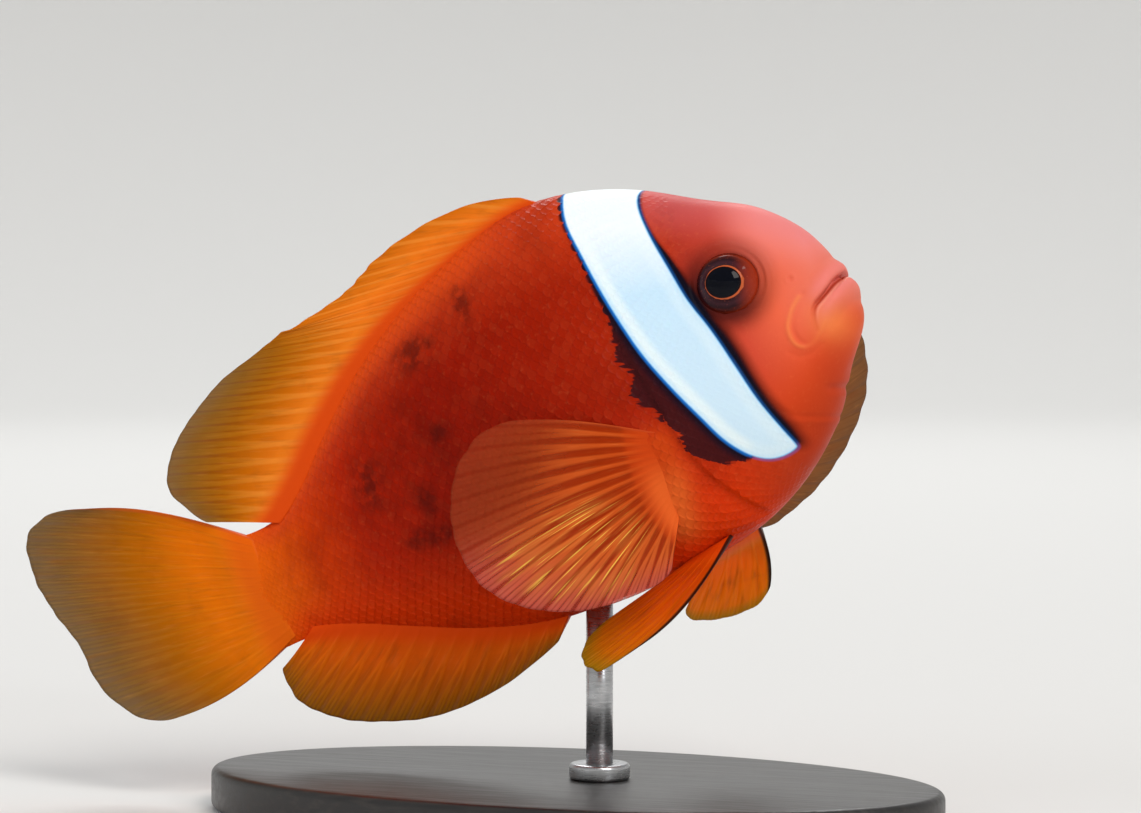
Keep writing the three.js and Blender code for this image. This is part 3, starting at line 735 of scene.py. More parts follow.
def add_node(
    tree: bpy.types.NodeTree,
    kind: str,
    inputs: dict[str | int, object],
    stops: Sequence[tuple[float, str]] = (),
    **settings: object,
) -> bpy.types.Node:
    """Add a node with its settings and links.

    Args:
        tree: The material's or world's nodes.
        kind: The node's type.
        inputs: A value, or an output to link, for each named or numbered input.
        stops: Places and colours, where the node has a colour ramp.
        settings: The node's own settings.

    Returns:
        The node.
    """
    node = tree.nodes.new(kind)
    for key, value in settings.items():
        setattr(node, key, value)
    for key, value in inputs.items():
        # A mix node has one socket of each name for each type of value, and only one of them is in use.
        socket = node.inputs[key] if isinstance(key, int) else next(
            s for s in node.inputs if s.name == key and s.enabled
        )
        if isinstance(value, bpy.types.NodeSocket):
            tree.links.new(value, socket)
        else:
            socket.default_value = value
    for n, (place, colour) in enumerate(stops):
        elements = node.color_ramp.elements
        stop = elements[n] if n < len(elements) else elements.new(place)
        stop.position, stop.color = place, linear(colour)
    return node


@dataclass(frozen=True)
class Where:
    """How much of a colour shows: eased from first to last while a value of the mesh goes from start to end."""

    value: object
    start: float
    end: float
    last: float = 1.0
    first: float = 0.0


@dataclass(frozen=True)
class Grain:
    """Soft spots of about a size in millimetres, which carry finer ones and are drawn out where they have a lie."""

    size: float = 1.0
    finer: float = 3
    lie: str = "place"
    stretch: tuple[float, float, float] | None = None


@dataclass(frozen=True)
class Fade:
    """A colour that changes from stop to stop with a value of the mesh."""

    value: object
    stops: tuple[tuple[float, str], ...]


class Paint:
    """A material's nodes, laid colour over colour, and then closed with one shader."""

    def __init__(self, name: str) -> None:
        """Start an empty material.

        Args:
            name: The material's name.
        """
        self.material = bpy.data.materials.new(name)
        self.material.use_nodes = True
        self.tree = self.material.node_tree
        self.tree.nodes.clear()
        self.colour: object = None
        self.made: dict[object, bpy.types.NodeSocket] = {}

    def add(
        self, kind: str, inputs: dict[str | int, object], out: str = "", **settings: object
    ) -> bpy.types.NodeSocket:
        """Add a node whose inputs are terms.

        Args:
            kind: The node's type.
            inputs: A term for each named or numbered input.
            out: The output's name, where it isn't the first.
            settings: The node's own settings.

        Returns:
            The node's output.
        """
        node = add_node(self.tree, kind, {key: self.read(term) for key, term in inputs.items()}, **settings)
        return node.outputs[out] if out else next(s for s in node.outputs if s.enabled)

    def read(self, term: object) -> object:
        """Make the nodes that a term stands for, once for each term.

        Args:
            term: The name of one of the mesh's values, a Where, a Grain, a Fade, or a list of terms to multiply.

        Returns:
            An output to link. Anything else is given back as it is.
        """
        if isinstance(term, list):
            product = self.read(term[0])
            for other in term[1:]:
                product = self.add("ShaderNodeMath", {0: product, 1: other}, operation="MULTIPLY")
            return product
        if term in self.made:
            return self.made[term]
        match term:
            case str():
                made = self.add("ShaderNodeAttribute", {}, "Fac", attribute_name=term)
            case Where(value, start, end, last, first):
                inputs = {"Value": value, "From Min": start, "From Max": end, "To Min": first, "To Max": last}
                made = self.add("ShaderNodeMapRange", inputs, interpolation_type="SMOOTHSTEP")
            case Grain(size, finer, lie, stretch):
                where = self.add("ShaderNodeAttribute", {}, "Vector", attribute_name=lie)
                if stretch:
                    where = self.add("ShaderNodeVectorMath", {0: where, 1: stretch}, operation="MULTIPLY")
                inputs = {"Vector": where, "Scale": 1 / size, "Detail": finer, "Roughness": 0.55}
                made = self.add("ShaderNodeTexNoise", inputs)
            case Fade(value, stops):
                made = self.add("ShaderNodeValToRGB", {0: value}, stops=stops)
            case _:
                return term
        self.made[term] = made
        return made

    def lay(self, colour: str | Fade, *shares: object) -> None:
        """Lay a colour over what is there.

        Args:
            colour: A hex colour, or one that changes.
            shares: Terms whose product is how much of it covers.
        """
        top = linear(colour) if isinstance(colour, str) else self.read(colour)
        if self.colour is not None:
            inputs = {"Factor": list(shares), "A": self.colour, "B": top}
            top = self.add("ShaderNodeMix", inputs, data_type="RGBA")
        self.colour = top

    def close(
        self, relief: object = None, depth: float = 0.0, through_light: object = None, **sockets: object
    ) -> bpy.types.Material:
        """Close the material with a principled shader.

        Args:
            relief: The term that raises the surface, where something does.
            depth: How much it raises it, in millimetres.
            through_light: How much light passes through a thin piece and lights its far side.
            sockets: Terms for the shader's inputs, with underscores for spaces.

        Returns:
            The material.
        """
        inputs = {"Base Color": self.colour, **{key.replace("_", " "): term for key, term in sockets.items()}}
        if relief is not None:
            inputs["Normal"] = self.add("ShaderNodeBump", {"Height": relief, "Distance": depth * MM, "Strength": 1.0})
        shader = self.add("ShaderNodeBsdfPrincipled", inputs)
        if through_light is not None:
            glow = self.add("ShaderNodeBsdfTranslucent", {"Color": self.colour})
            shader = self.add("ShaderNodeMixShader", {0: through_light, 1: shader, 2: glow})
        add_node(self.tree, "ShaderNodeOutputMaterial", {"Surface": shader})
        return self.material


# ---------- markings and finishes ----------


@dataclass(frozen=True)
class Markings:
    """The white bar, its black borders and the dusky blotches, as values that skin and scales both carry."""

    # Blotches on the right flank, as x, z, half length, half height.
    right_blotches: tuple[tuple[float, float, float, float], ...] = (
        (38.0, 18.4, 1.3, 2.8), (30.4, 16.0, 3.5, 2.3), (19.0, 5.0, 2.6, 3.5), (25.4, 0.2, 1.4, 2.0),
        (24.8, -3.8, 2.4, 1.2), (21.8, -3.0, 1.8, 1.3), (30.0, 6.3, 1.6, 1.1),
    )
    left_blotches: tuple[tuple[float, float, float, float], ...] = (
        (37.5, 16.6, 2.4, 1.9), (27.6, 13.2, 2.2, 2.4), (22.6, 4.0, 3.0, 2.0), (30.4, -2.4, 2.8, 1.8),
        (18.4, -1.2, 1.6, 2.4), (34.8, 5.4, 1.5, 2.2),
    )

    def values(self, body: BodyShape, points: np.ndarray, roots: np.ndarray | None = None) -> dict[str, np.ndarray]:
        """Read every marking at points of the body.

        Args:
            body: The body that the points lie on.
            points: Points in the fish's frame.
            roots: The middle of each point's own scale, where it belongs to one.

        Returns:
            Named values, one row for each point.
        """
        whole = points if roots is None else roots
        side = points[:, [0, 2]]
        own = whole[:, [0, 2]]
        back, belly = (body.height_at(line, np.minimum(points[:, 0], 76.0)) for line in (BACK, BELLY))
        x, z = points[:, 0], points[:, 2]
        # A scale leans to being black or red as a whole, which notches the border's rear edge.
        rear = depth_inside(REAR_BLACK, side * 0.6 + own * 0.4)
        # The front border is a hard line at the nape and fades out softly under the eye.
        front = depth_inside(FRONT_BLACK, side) / (0.3 + 0.7 * smooth(-z, -13, -3))
        dusk = np.zeros(len(points))
        for flank, blotches in ((Side.LEFT, self.left_blotches), (Side.RIGHT, self.right_blotches)):
            here = (whole[:, 1] > 0) == (flank is Side.LEFT)
            for blotch_x, blotch_z, length, height in blotches:
                spread = ((x - blotch_x) / length) ** 2 + ((z - blotch_z) / height) ** 2
                dusk = np.maximum(dusk, here * np.exp(-spread))
        return {
            "place": points,
            "along": (x + 2) / 80.5,
            "height": np.clip((z - belly) / np.maximum(back - belly, 1e-3), 0, 1),
            "white_mm": depth_inside((*BAR_REAR, *BAR_FRONT), side),
            "rear_mm": rear,
            "front": front,
            # Across and along the teeth of the black border, which point back along the rows of scales.
            "teeth": np.stack([(0.9 * x - 0.44 * z) * 0.35, (0.44 * x + 0.9 * z) * 2.7, points[:, 1] * 0.1], -1),
            "toothed": smooth(-z, -9, -4) * (1 - 0.75 * smooth(-z, 7, 11)),
            "eye_mm": np.clip(HeadRelief.from_eye(points)[0], 0, 20),
            "dusk": dusk,
            "shade": np.exp(-(((x - 27) / 12) ** 2) - ((z - 5) / 11) ** 2),
            **HeadRelief().marks(points),
        }


@dataclass(frozen=True)
class WetFishSkin:
    """Living fish skin under clear mucus: deep colour in the skin, with a soft wet sheen from the slime over it."""

    scaled: bool = False
    roughness: float = 0.42
    body_stops: tuple[tuple[float, str], ...] = (
        (0.0, "e46a02"), (0.06, "d85404"), (0.13, "c63802"), (0.22, "b02002"), (0.40, "941402"), (0.60, "981a02"),
        (0.72, "a82408"), (0.81, "b0321a"), (0.86, "cc4a34"), (0.91, "e66444"), (1.0, "de7664"),
    )
    # The bar's bluish white, painted lighter towards the top as if lit from above.
    bar_tint_with_painted_top_light: tuple[tuple[float, str], ...] = ((0.12, "d4ecfa"), (0.4, "cfe8f8"), (0.68, "c9e6f9"), (0.88, "f3f9fe"))

    def lay_flesh(self, p: Paint) -> None:
        """Lay the red of the body, from the orange tail to the pale snout, with its clouds of pigment and a painted
        pink sheen on the top of the nape and on the forehead.

        Args:
            p: The material that is being painted.
        """
        head, trunk = Where("along", 0.74, 0.88), Where("along", 0.88, 0.74)
        p.lay(Fade("along", self.body_stops))
        p.lay("d04018", Where("height", 0.72, 0.98, 0.75), trunk)
        p.lay("da3604", Where("height", 0.38, 0.03, 0.9), trunk)
        p.lay("cc3f12", Where("height", 0.46, 0.14, 0.85), head)
        p.lay("a22c24", Where("along", 0.79, 0.83), Where("along", 0.93, 0.86), Where("height", 0.45, 0.8, 0.45))
        # Painted sheen: pink highlights along the top of the nape and over the forehead, as if lit from above.
        p.lay("d2666a", Where("height", 0.80, 1.0, 0.55), Where("along", 0.76, 0.80))
        p.lay("ea8e8e", Where("height", 0.60, 0.95, 0.6), Where("along", 0.86, 0.93))
        # Pigment cells gather into soft clouds of a few millimetres and into grains far finer than a scale.
        p.lay("6a0e02", Where(Grain(6.0), 0.45, 0.75, 0.3), trunk)
        p.lay("f08a50", Where(Grain(0.5, 2), 0.55, 0.85, 0.10))
        if self.scaled:
            p.lay("300803", Where("jitter", 0.5, 1.0, 0.055))
            p.lay("ff8a50", Where("jitter", 0.5, 0.0, 0.02))
        p.lay("5c0c02", "shade", Where(Grain(2.6, 4), 0.3, 0.7, 0.6, 0.25))
        # Towards the fins on the back and at the tail the flesh takes their orange.
        p.lay("d84a12", Where("height", 0.86, 0.985), Where("along", 0.62, 0.50))
        p.lay("dc5806", Where("along", 0.075, 0.0))
        clouds = p.read(["dusk", Where(Grain(1.7), 0.24, 0.62)])
        p.lay("440c06", Where(clouds, 0.03, 0.9, 0.62))

    def lay_head(self, p: Paint) -> None:
        """Lay the colours that follow the head's folds, lips and eye seats, and the pectoral fins' fleshy feet, with
        painted shade in the mouth's slit, under the head and in the eye sockets, and painted highlights on the cheek
        bone's ridge and the lower lip's rim.

        Args:
            p: The material that is being painted.
        """
        p.lay(Fade("pad_foot", ((0, "c4400e"), (1, "de5e22"))), "pad")
        # Painted highlights on the cheek bone's ridge and the lower lip's rim, and painted shade in the mouth's slit;
        # the jaw and the lips are paler in their own colour.
        for colour, value, share in (
            ("f58c4c", "jaw", 0.6), ("f6984e", "ridge", 0.32), ("f08a8c", "lip", 0.35), ("ac300e", "fold", 0.85),
            ("ffa890", "lip_rim", 0.5),
        ):
            p.lay(colour, value, share)
        # Painted shade along the underside of the head and throat.
        p.lay("7c1c06", Where("height", 0.24, 0.0, 0.4), Where("along", 0.76, 0.86), Where("along", 0.985, 0.92))
        p.lay("741e12", Where("eye_mm", 6.4, 3.6, 0.4))
        # Painted shade in the eye socket, deepest behind and below the eye.
        p.lay("2c0e10", "socket", 0.8)

    def lay_bar(self, p: Paint) -> None:
        """Lay the white bar over its black borders, whose rear edge is toothed along the rows of scales, with the white
        painted lighter towards the top as if lit from above.

        Args:
            p: The material that is being painted.
        """
        p.lay("3c0e0a", Where("front", -1.3, 0.3, 0.85))
        p.lay("120a10", Where("front", -0.35, 0.5, 0.94))
        spikes = p.read([Where(Grain(1.0, 1, "teeth"), 0.3, 0.7, 0.26, -0.36), "toothed"])
        edge = p.add("ShaderNodeMath", {0: "rear_mm", 1: spikes}, operation="ADD")
        p.lay("381014", Where(edge, -0.14, 0.12, 0.96))
        borders = {0: Where(edge, 0.0, 0.3), 1: Where("front", -0.2, 0.4)}
        either = p.add("ShaderNodeMath", borders, operation="MAXIMUM")
        p.lay("0c0c1c", Where("white_mm", -1.5, -0.35, 0.92), either)
        # The bar's edge scatters blue where its white thins out over the black, most of all along the rear.
        p.lay("1668c0", Where("white_mm", -0.42, -0.10, 0.95), Where("rear_mm", 0.0, 0.4, 1.0, 0.4))
        p.lay("80c4f4", Where("white_mm", -0.10, 0.10))
        # The bar's white is bluish, and painted lighter towards the top as if lit from above.
        p.lay(Fade("height", self.bar_tint_with_painted_top_light), Where("white_mm", 0.0, 0.22))
        rim = p.read([Where("white_mm", 0.25, 0.7), Where("white_mm", 2.0, 1.0, 0.6)])
        p.lay("f4fdfa", rim, Where("rear_mm", 0.0, 1.5, 1.0, 0.35))

    def material(self, name: str) -> bpy.types.Material:
        """Build the skin's material.

        Args:
            name: The material's name.

        Returns:
            The material.
        """
        p = Paint(name)
        self.lay_flesh(p)
        self.lay_head(p)
        self.lay_bar(p)
        # Pores and fine wrinkles, drawn at a third of a millimetre so that they show.
        return p.close(
            Grain(0.34),
            0.025,
            Roughness=Where(Grain(2.2), 0.3, 0.7, self.roughness + 0.07, self.roughness - 0.05),
            IOR=1.34,
            Specular_IOR_Level=0.07,
            Subsurface_Weight=0.08,
            Subsurface_Radius=(0.9 * MM, 0.35 * MM, 0.2 * MM),
            Coat_Weight=0.03,
            Coat_Roughness=0.3,
            Coat_IOR=1.34,
        )


@dataclass(frozen=True)
class FinWeb:
    """Living fin: a clear skin stretched over bony rays, thinner and greyer towards its edge, where light passes."""

    web_stops: tuple[tuple[float, str], ...]
    ray_stops: tuple[tuple[float, str], ...]
    root_colour: str = "b8330e"
    foot_colour: str = ""  # the root's colour at the last rays, where it has another
    root_depth: float = 2.6  # how far the body's own flesh runs out over the fin, in millimetres
    ray_strength: float = 0.6
    groove: str = "8a2c04"
    edge_alpha: float = 0.45
    web_alpha: float = 0.9
    through_light: float = 0.3
    lead: str = ""  # the colour of the leading edge, where it has its own
    lead_share: float = 0.9
    # The colour of the highlights painted on the rays as glints, where the fin has them.
    painted_glints: str = ""  # the colour of the glints on the rays
    upper: str = ""  # the margin's colour over the first rays, where it has another
    roughness: float = 0.4

    def material(self, name: str) -> bpy.types.Material:
        """Build the fin's material.

        Args:
            name: The material's name.

        Returns:
            The material.
        """
        p = Paint(name)
        depth = self.root_depth
        veil = Where("veil", 0.0, 1.0, 0.4, 1.0)
        p.lay(Fade("reach", self.web_stops))
        p.lay(Fade("reach", self.ray_stops), Where("ray", 0.15, 0.85, self.ray_strength), veil)
        # Fibres in the web run along the rays: some three to a ray, and finer ones about ten to a ray.
        fibres = Grain(1.0, 2, "fan", (2.6, 0.16, 1.0))
        p.lay(self.groove, Where(fibres, 0.48, 0.8, 0.36), veil)
        p.lay("ffb060", Where(Grain(1.0, 2, "fan", (9.0, 0.3, 1.0)), 0.5, 0.85, 0.14))
        p.lay("5a1c04", Where(Grain(3.5, 4), 0.5, 0.8, 0.15))
        if self.upper:
            p.lay(self.upper, Where("foot", 0.6, 0.1, 0.8), Where("reach", 0.35, 0.9))
        # Painted highlights in the middle of the fin: a golden sheen along the fibres, and sharp golden glints on the
        # rays.
        if self.painted_glints:
            p.lay("e88a3c", Where(replace(fibres, finer=1), 0.40, 0.60, 0.32), "shine")
            p.lay(self.painted_glints, Where(Grain(1.0, 1, "fan", (8.5, 0.13, 1.0)), 0.58, 0.70, 0.85), "shine")
        base = Where("reach_mm", depth * 1.7, depth * 0.5)
        p.lay(self.root_colour, base)
        if self.foot_colour:
            p.lay(self.foot_colour, base, "foot")
        if self.lead:
            p.lay(self.lead, Where("leading", 0.35, 0.8, self.lead_share))
        thin, firm = Where("reach", 0.5, 1.0, self.edge_alpha, self.web_alpha), Where("ray", 0.2, 0.9, 0.25)
        web = p.read([p.add("ShaderNodeMath", {0: thin, 1: firm}, operation="ADD"), veil])
        root = Where("reach_mm", depth * 1.8, depth * 0.8)
        return p.close(
            fibres,
            0.05,
            Where("reach_mm", depth * 0.8, depth * 1.8, self.through_light),
            Roughness=self.roughness,
            IOR=1.34,
            Specular_IOR_Level=0.08,
            Alpha=p.add("ShaderNodeMath", {0: web, 1: root}, operation="ADD", use_clamp=True),
            Coat_Weight=0.03,
            Coat_Roughness=0.25,
            Coat_IOR=1.34,
        )


@dataclass(frozen=True)
class FishEye:
    """Eye under a clear wet cornea: a black-blue pupil, a thin gold ring and a brown iris, with one sharp highlight."""

    iris: tuple[tuple[float, str], ...] = (
        (0.56, "2e1218"), (0.68, "3a1c24"), (0.78, "281016"), (0.88, "48140e"), (0.95, "7c2612"), (1.0, "5a180c"),
    )

    def material(self, name: str) -> bpy.types.Material:
        """Build the eye's material.

        Args:
            name: The material's name.

        Returns:
            The material.
        """
        p = Paint(name)
        wander = Where(Grain(0.6, 2), 0.2, 0.8, 0.015, -0.015)
        out = p.add("ShaderNodeMath", {0: "from_ring", 1: wander}, operation="ADD")
        p.lay(Fade(out, self.iris))
        p.lay("9c3016", Where("forward", 0.15, 0.9, 0.85))
        p.lay("b05030", Where(Grain(0.3, 4), 0.58, 0.8, 0.45))
        p.lay("b8562e", Where(out, 0.562, 0.545))
        p.lay("12060a", Where("from_pupil", 0.522, 0.505))
        p.lay("03050e", Where("from_pupil", 0.485, 0.44))
        return p.close(
            Roughness=0.4, IOR=1.34, Specular_IOR_Level=0.0, Coat_Weight=1.0, Coat_Roughness=0.03, Coat_IOR=1.22
        )


@dataclass(frozen=True)
class StainedWood:
    """Beech, stained black and wax-finished: near black, with a faint grain and a soft broad sheen."""

    lie: tuple[float, float, float] = (0.12, 1.6, 1.6)  # growth lines about 0.6 mm apart, drawn out along the board

    def material(self, name: str) -> bpy.types.Material:
        """Build the wood's material.

        Args:
            name: The material's name.

        Returns:
            The material.
        """
        p = Paint(name)
        grain = Grain(1.0, 5, stretch=self.lie)
        p.lay("1d1b1a")
        p.lay("37322e", Where(grain, 0.45, 0.7, 0.6))
        p.lay("0e0d0d", Where(Grain(0.5, 2, stretch=self.lie), 0.6, 0.8, 0.7))
        rough = Where(grain, 0.3, 0.7, 0.46, 0.34)
        return p.close(grain, 0.03, Roughness=rough, IOR=1.5, Coat_Weight=0.15, Coat_Roughness=0.3)


@dataclass(frozen=True)
class BrushedSteel:
    """Stainless steel, turned and brushed: grey, with fine rings round the rod that spread its highlight."""

    def material(self, name: str) -> bpy.types.Material:
        """Build the steel's material.

        Args:
            name: The material's name.

        Returns:
            The material.
        """
        p = Paint(name)
        scratch = Grain(1.0, 4, stretch=(0.4, 0.4, 5.0))  # turning marks 0.2 mm apart, coarser than a real finish
        p.lay("b9babc")
        p.lay("8d8f92", Where(scratch, 0.45, 0.75, 0.6))
        return p.close(scratch, 0.01, Metallic=1.0, Roughness=Where(scratch, 0.3, 0.7, 0.36, 0.24))


# ---------- the body ----------


@dataclass
class FleshSkin:
    """The one skin over head, jaw, gill covers, trunk and tail stalk."""

    frame: FishFrame
    body: BodyShape
    trunk_rings: int = 200
    head_rings: int = 210
    sides: int = 288
    flesh: tuple[str, ...] = ("head", "lower_jaw", "gill_cover_left", "gill_cover_right", "trunk", "tail_stalk")

    def build(self) -> bpy.types.Object:
        """Make the skin's mesh.

        Returns:
            The skin.
        """
        neck = float(self.body.t_at(np.array(56.0)))
        stations = np.concatenate([
            np.linspace(0, neck, self.trunk_rings, endpoint=False),
            np.linspace(neck, 0.9985, self.head_rings),
        ])
        angles = np.linspace(0, 2 * math.pi, self.sides, endpoint=False)
        t, angle = np.meshgrid(stations, angles, indexing="ij")
        points = self.body.skin(t, angle).reshape(-1, 3)
        rings = len(stations)
        first, last = points[: self.sides].mean(0), points[-self.sides :].mean(0)
        points = np.vstack([points, first, last])
        ring = np.arange(self.sides)
        after = (ring + 1) % self.sides
        tail = np.stack([np.full(self.sides, rings * self.sides), after, ring], 1)
        top = (rings - 1) * self.sides
        mouth = np.stack([np.full(self.sides, rings * self.sides + 1), top + ring, top + after], 1)
        faces = [grid_faces(rings, self.sides, closed=True)[:, ::-1], tail[:, ::-1], mouth[:, ::-1]]
        return make_mesh("skin", self.frame.place(points), faces, Markings().values(self.body, points))

    def dress(self, skin: bpy.types.Object) -> None:
        """Give the skin its finish."""
        skin.data.materials.append(WetFishSkin().material("fish_skin_naked_wet"))
        ride(skin, Slot.SKIN, self.flesh)


@dataclass
class ScaleCoat:
    """Rows of scales over the skin, each row parallel to the midline and each scale's free edge towards the tail."""

    frame: FishFrame
    body: BodyShape
    pitch: float = 1.3  # along a row, on the flank
    row_gap: float = 0.85  # from row to row, where every other row is set back by half a scale
    length: float = 1.1  # half a scale's length, on the flank
    breadth: float = 0.80  # half a scale's breadth
    sunk: float = -0.05  # the front edge, under the skin
    lift: float = 0.045  # the free edge, over the skin
    rows: int = 5
    columns: int = 6

    @staticmethod
    def size_at(x: np.ndarray) -> np.ndarray:
        """Read how large scales are at x, as a share of those on the flank."""
        return 0.42 + 0.13 * smooth(x, -6, 0) + 0.45 * smooth(x, -2, 18) - 0.42 * smooth(x, 50, 64)

    def lattice(self) -> tuple[np.ndarray, np.ndarray, np.ndarray]:
        """Lay out the scales of one side.

        Returns:
            Each scale's x, the millimetres it lies above the midline, and its size.
        """
        x = np.linspace(-6, 70, 2000)
        counted = np.concatenate([[0], np.cumsum(np.diff(x) / (self.pitch * self.size_at(x[1:])))])
        many = int(counted[-1])
        placed = []
        for row in range(-46, 47):
            steps = np.arange(many) + (0.5 if row % 2 else 0.0)
            at = np.interp(steps, counted, x)
            size = self.size_at(at)
            placed.append(np.stack([at, row * self.row_gap * size, size], 1))
        table = np.concatenate(placed)
        return table[:, 0], table[:, 1], table[:, 2]

    def level(self, t: np.ndarray, above: np.ndarray) -> np.ndarray:
        """Turn millimetres above the midline into a level of the body.

        Args:
            t: Place along the body.
            above: Millimetres above the midline.

        Returns:
            The level, from -1 on the belly to 1 on the back.
        """
        upper = np.interp(t, self.body.stations, self.body.upper)
        lower = np.interp(t, self.body.stations, self.body.lower)
        return above / np.maximum(np.where(above >= 0, upper, lower), 0.3)

    def wanted(self, t: np.ndarray, angle: np.ndarray, level: np.ndarray) -> np.ndarray:
        """Find which scales belong on the body: none on the snout, the lips, round the eye or past the ridges.

        Args:
            t: Each scale's place along the body.
            angle: Its angle.
            level: Its level.

        Returns:
            True for each scale to make.
        """
        points = self.body.loft(t, angle)
        eye = HeadRelief.from_eye(points)[0]
        x, z = points[:, 0], points[:, 2]
        front = 66.2 - 0.10 * np.abs(z - 2) + 1.6 * smooth(-z, 0, 8)
        return (np.abs(level) < 0.985) & (eye > 5.0) & (x < front) & (x > -4.6)

    def template(self) -> tuple[np.ndarray, np.ndarray]:
        """Shape one scale.

        Returns:
            Vertices as backwards, across and up, in shares of a scale, and its quads.
        """
        across = np.linspace(-1, 1, self.columns)
        rear = np.sqrt(1 - (0.86 * across) ** 2) * 1.15 - 0.15
        share = np.linspace(0, 1, self.rows)[:, None]
        back = -1 + (rear + 1) * share
        up = self.sunk + (self.lift - self.sunk) * share**0.9 - 0.035 * across**2
        top = np.stack([back, np.broadcast_to(across, back.shape), up], -1).reshape(-1, 3)
        count = self.rows * self.columns
        left = [i * self.columns for i in range(self.rows)]
        right = [i * self.columns + self.columns - 1 for i in range(self.rows)]
        rim = [*left, *range(count - self.columns + 1, count - 1), *right[::-1]]
        foot = top[rim] * [0.97, 0.97, 1]
        foot[:, 2] = np.minimum(foot[:, 2] - 0.05, -0.02)
        skirt = np.array([[rim[i], rim[i + 1], count + i + 1, count + i] for i in range(len(rim) - 1)])
        return np.vstack([top, foot]), np.vstack([grid_faces(self.rows, self.columns)[:, ::-1], skirt])

    def build(self) -> list[bpy.types.Object]:
        """Make the scales of both sides, in pieces for the flanks and the head.

        Returns:
            The pieces.
        """
        x, above, size = self.lattice()
        t = self.body.t_at(x)
        level = self.level(t, above)
        angle = self.body.angle_at(t, np.clip(level, -1, 1))
        keep = self.wanted(t, angle, level)
        random = np.random.default_rng(SEED)
        made = []
        for side in Side:
            for part, here in (("flank", x < 51), ("head", x >= 51)):
                chosen = keep & here
                made.append(self.piece(f"scales_{part}", side, x[chosen], above[chosen], size[chosen], random))
        return made

    def piece(
        self, name: str, side: Side, x: np.ndarray, above: np.ndarray, size: np.ndarray, random: np.random.Generator
    ) -> bpy.types.Object:
        """Make one piece of the coat.

        Args:
            name: The piece's name, without its side.
            side: The side it lies on.
            x: Each scale's x.
            above: How far it lies above the midline.
            size: Its size, as a share of a flank scale.
            random: Where its small differences come from.

        Returns:
            The piece.
        """
        shape, quads = self.template()
        many, corners = len(x), len(shape)
        size = size * random.uniform(0.94, 1.06, many)
        jitter = random.uniform(0, 1, many)
        turn = random.normal(0, 0.06, many)[:, None]
        back = shape[:, 0] * self.length * size[:, None]
        across = shape[:, 1] * self.breadth * size[:, None]
        place_x = x[:, None] - back * np.cos(turn) + across * np.sin(turn)
        place_w = above[:, None] + across * np.cos(turn) + back * np.sin(turn)
        t = self.body.t_at(place_x)
        angle = self.body.angle_at(t, self.level(t, place_w))
        root_t = self.body.t_at(x)
        root_angle = self.body.angle_at(root_t, self.level(root_t, above))
        if side is Side.RIGHT:
            angle, root_angle = 2 * math.pi - angle, 2 * math.pi - root_angle
            quads = quads[:, ::-1]
        on_bar = smooth(depth_inside((*BAR_REAR, *BAR_FRONT), self.body.skin(root_t, root_angle)[:, [0, 2]]), -0.2, 0.5)
        faint = (1 - 0.75 * smooth(x, 54, 63)) * (1 - 0.6 * on_bar)
        lift = shape[:, 2] * (0.45 + 0.55 * size)[:, None] * faint[:, None] * random.uniform(0.85, 1.15, many)[:, None]
        points = self.body.skin(t.ravel(), angle.ravel(), lift.ravel())
        roots = np.repeat(self.body.skin(root_t, root_angle), corners, axis=0)
        values = Markings().values(self.body, points, roots)
        values["jitter"] = np.repeat(jitter, corners)
        values["tip"] = np.tile((shape[:, 0] + 1) / 2, many)
        faces = (quads[None] + corners * np.arange(many)[:, None, None]).reshape(-1, 4)
        # On the unwrap, t runs along and the angle runs up, and each scale is a small patch at its root's place.
        patch = shape[:, :2] * 0.0015
        home = np.stack([0.01 + 0.98 * root_t, 0.01 + 0.98 * (root_angle % (2 * math.pi)) / (2 * math.pi)], -1)
        patches = (home[:, None] + patch).reshape(-1, 2)
        return make_mesh(side.of(name), self.frame.place(points), [faces], values, patches)

    def dress(self, pieces: Sequence[bpy.types.Object]) -> None:
        """Give the scales the skin's own finish and markings.

        Args:
            pieces: The coat's pieces.
        """
        finish = WetFishSkin(scaled=True, roughness=0.36).material("fish_scales_overlapping_wet")
        for piece in pieces:
            piece.data.materials.append(finish)
            ride(piece, Slot.SKIN)


# ---------- fins ----------


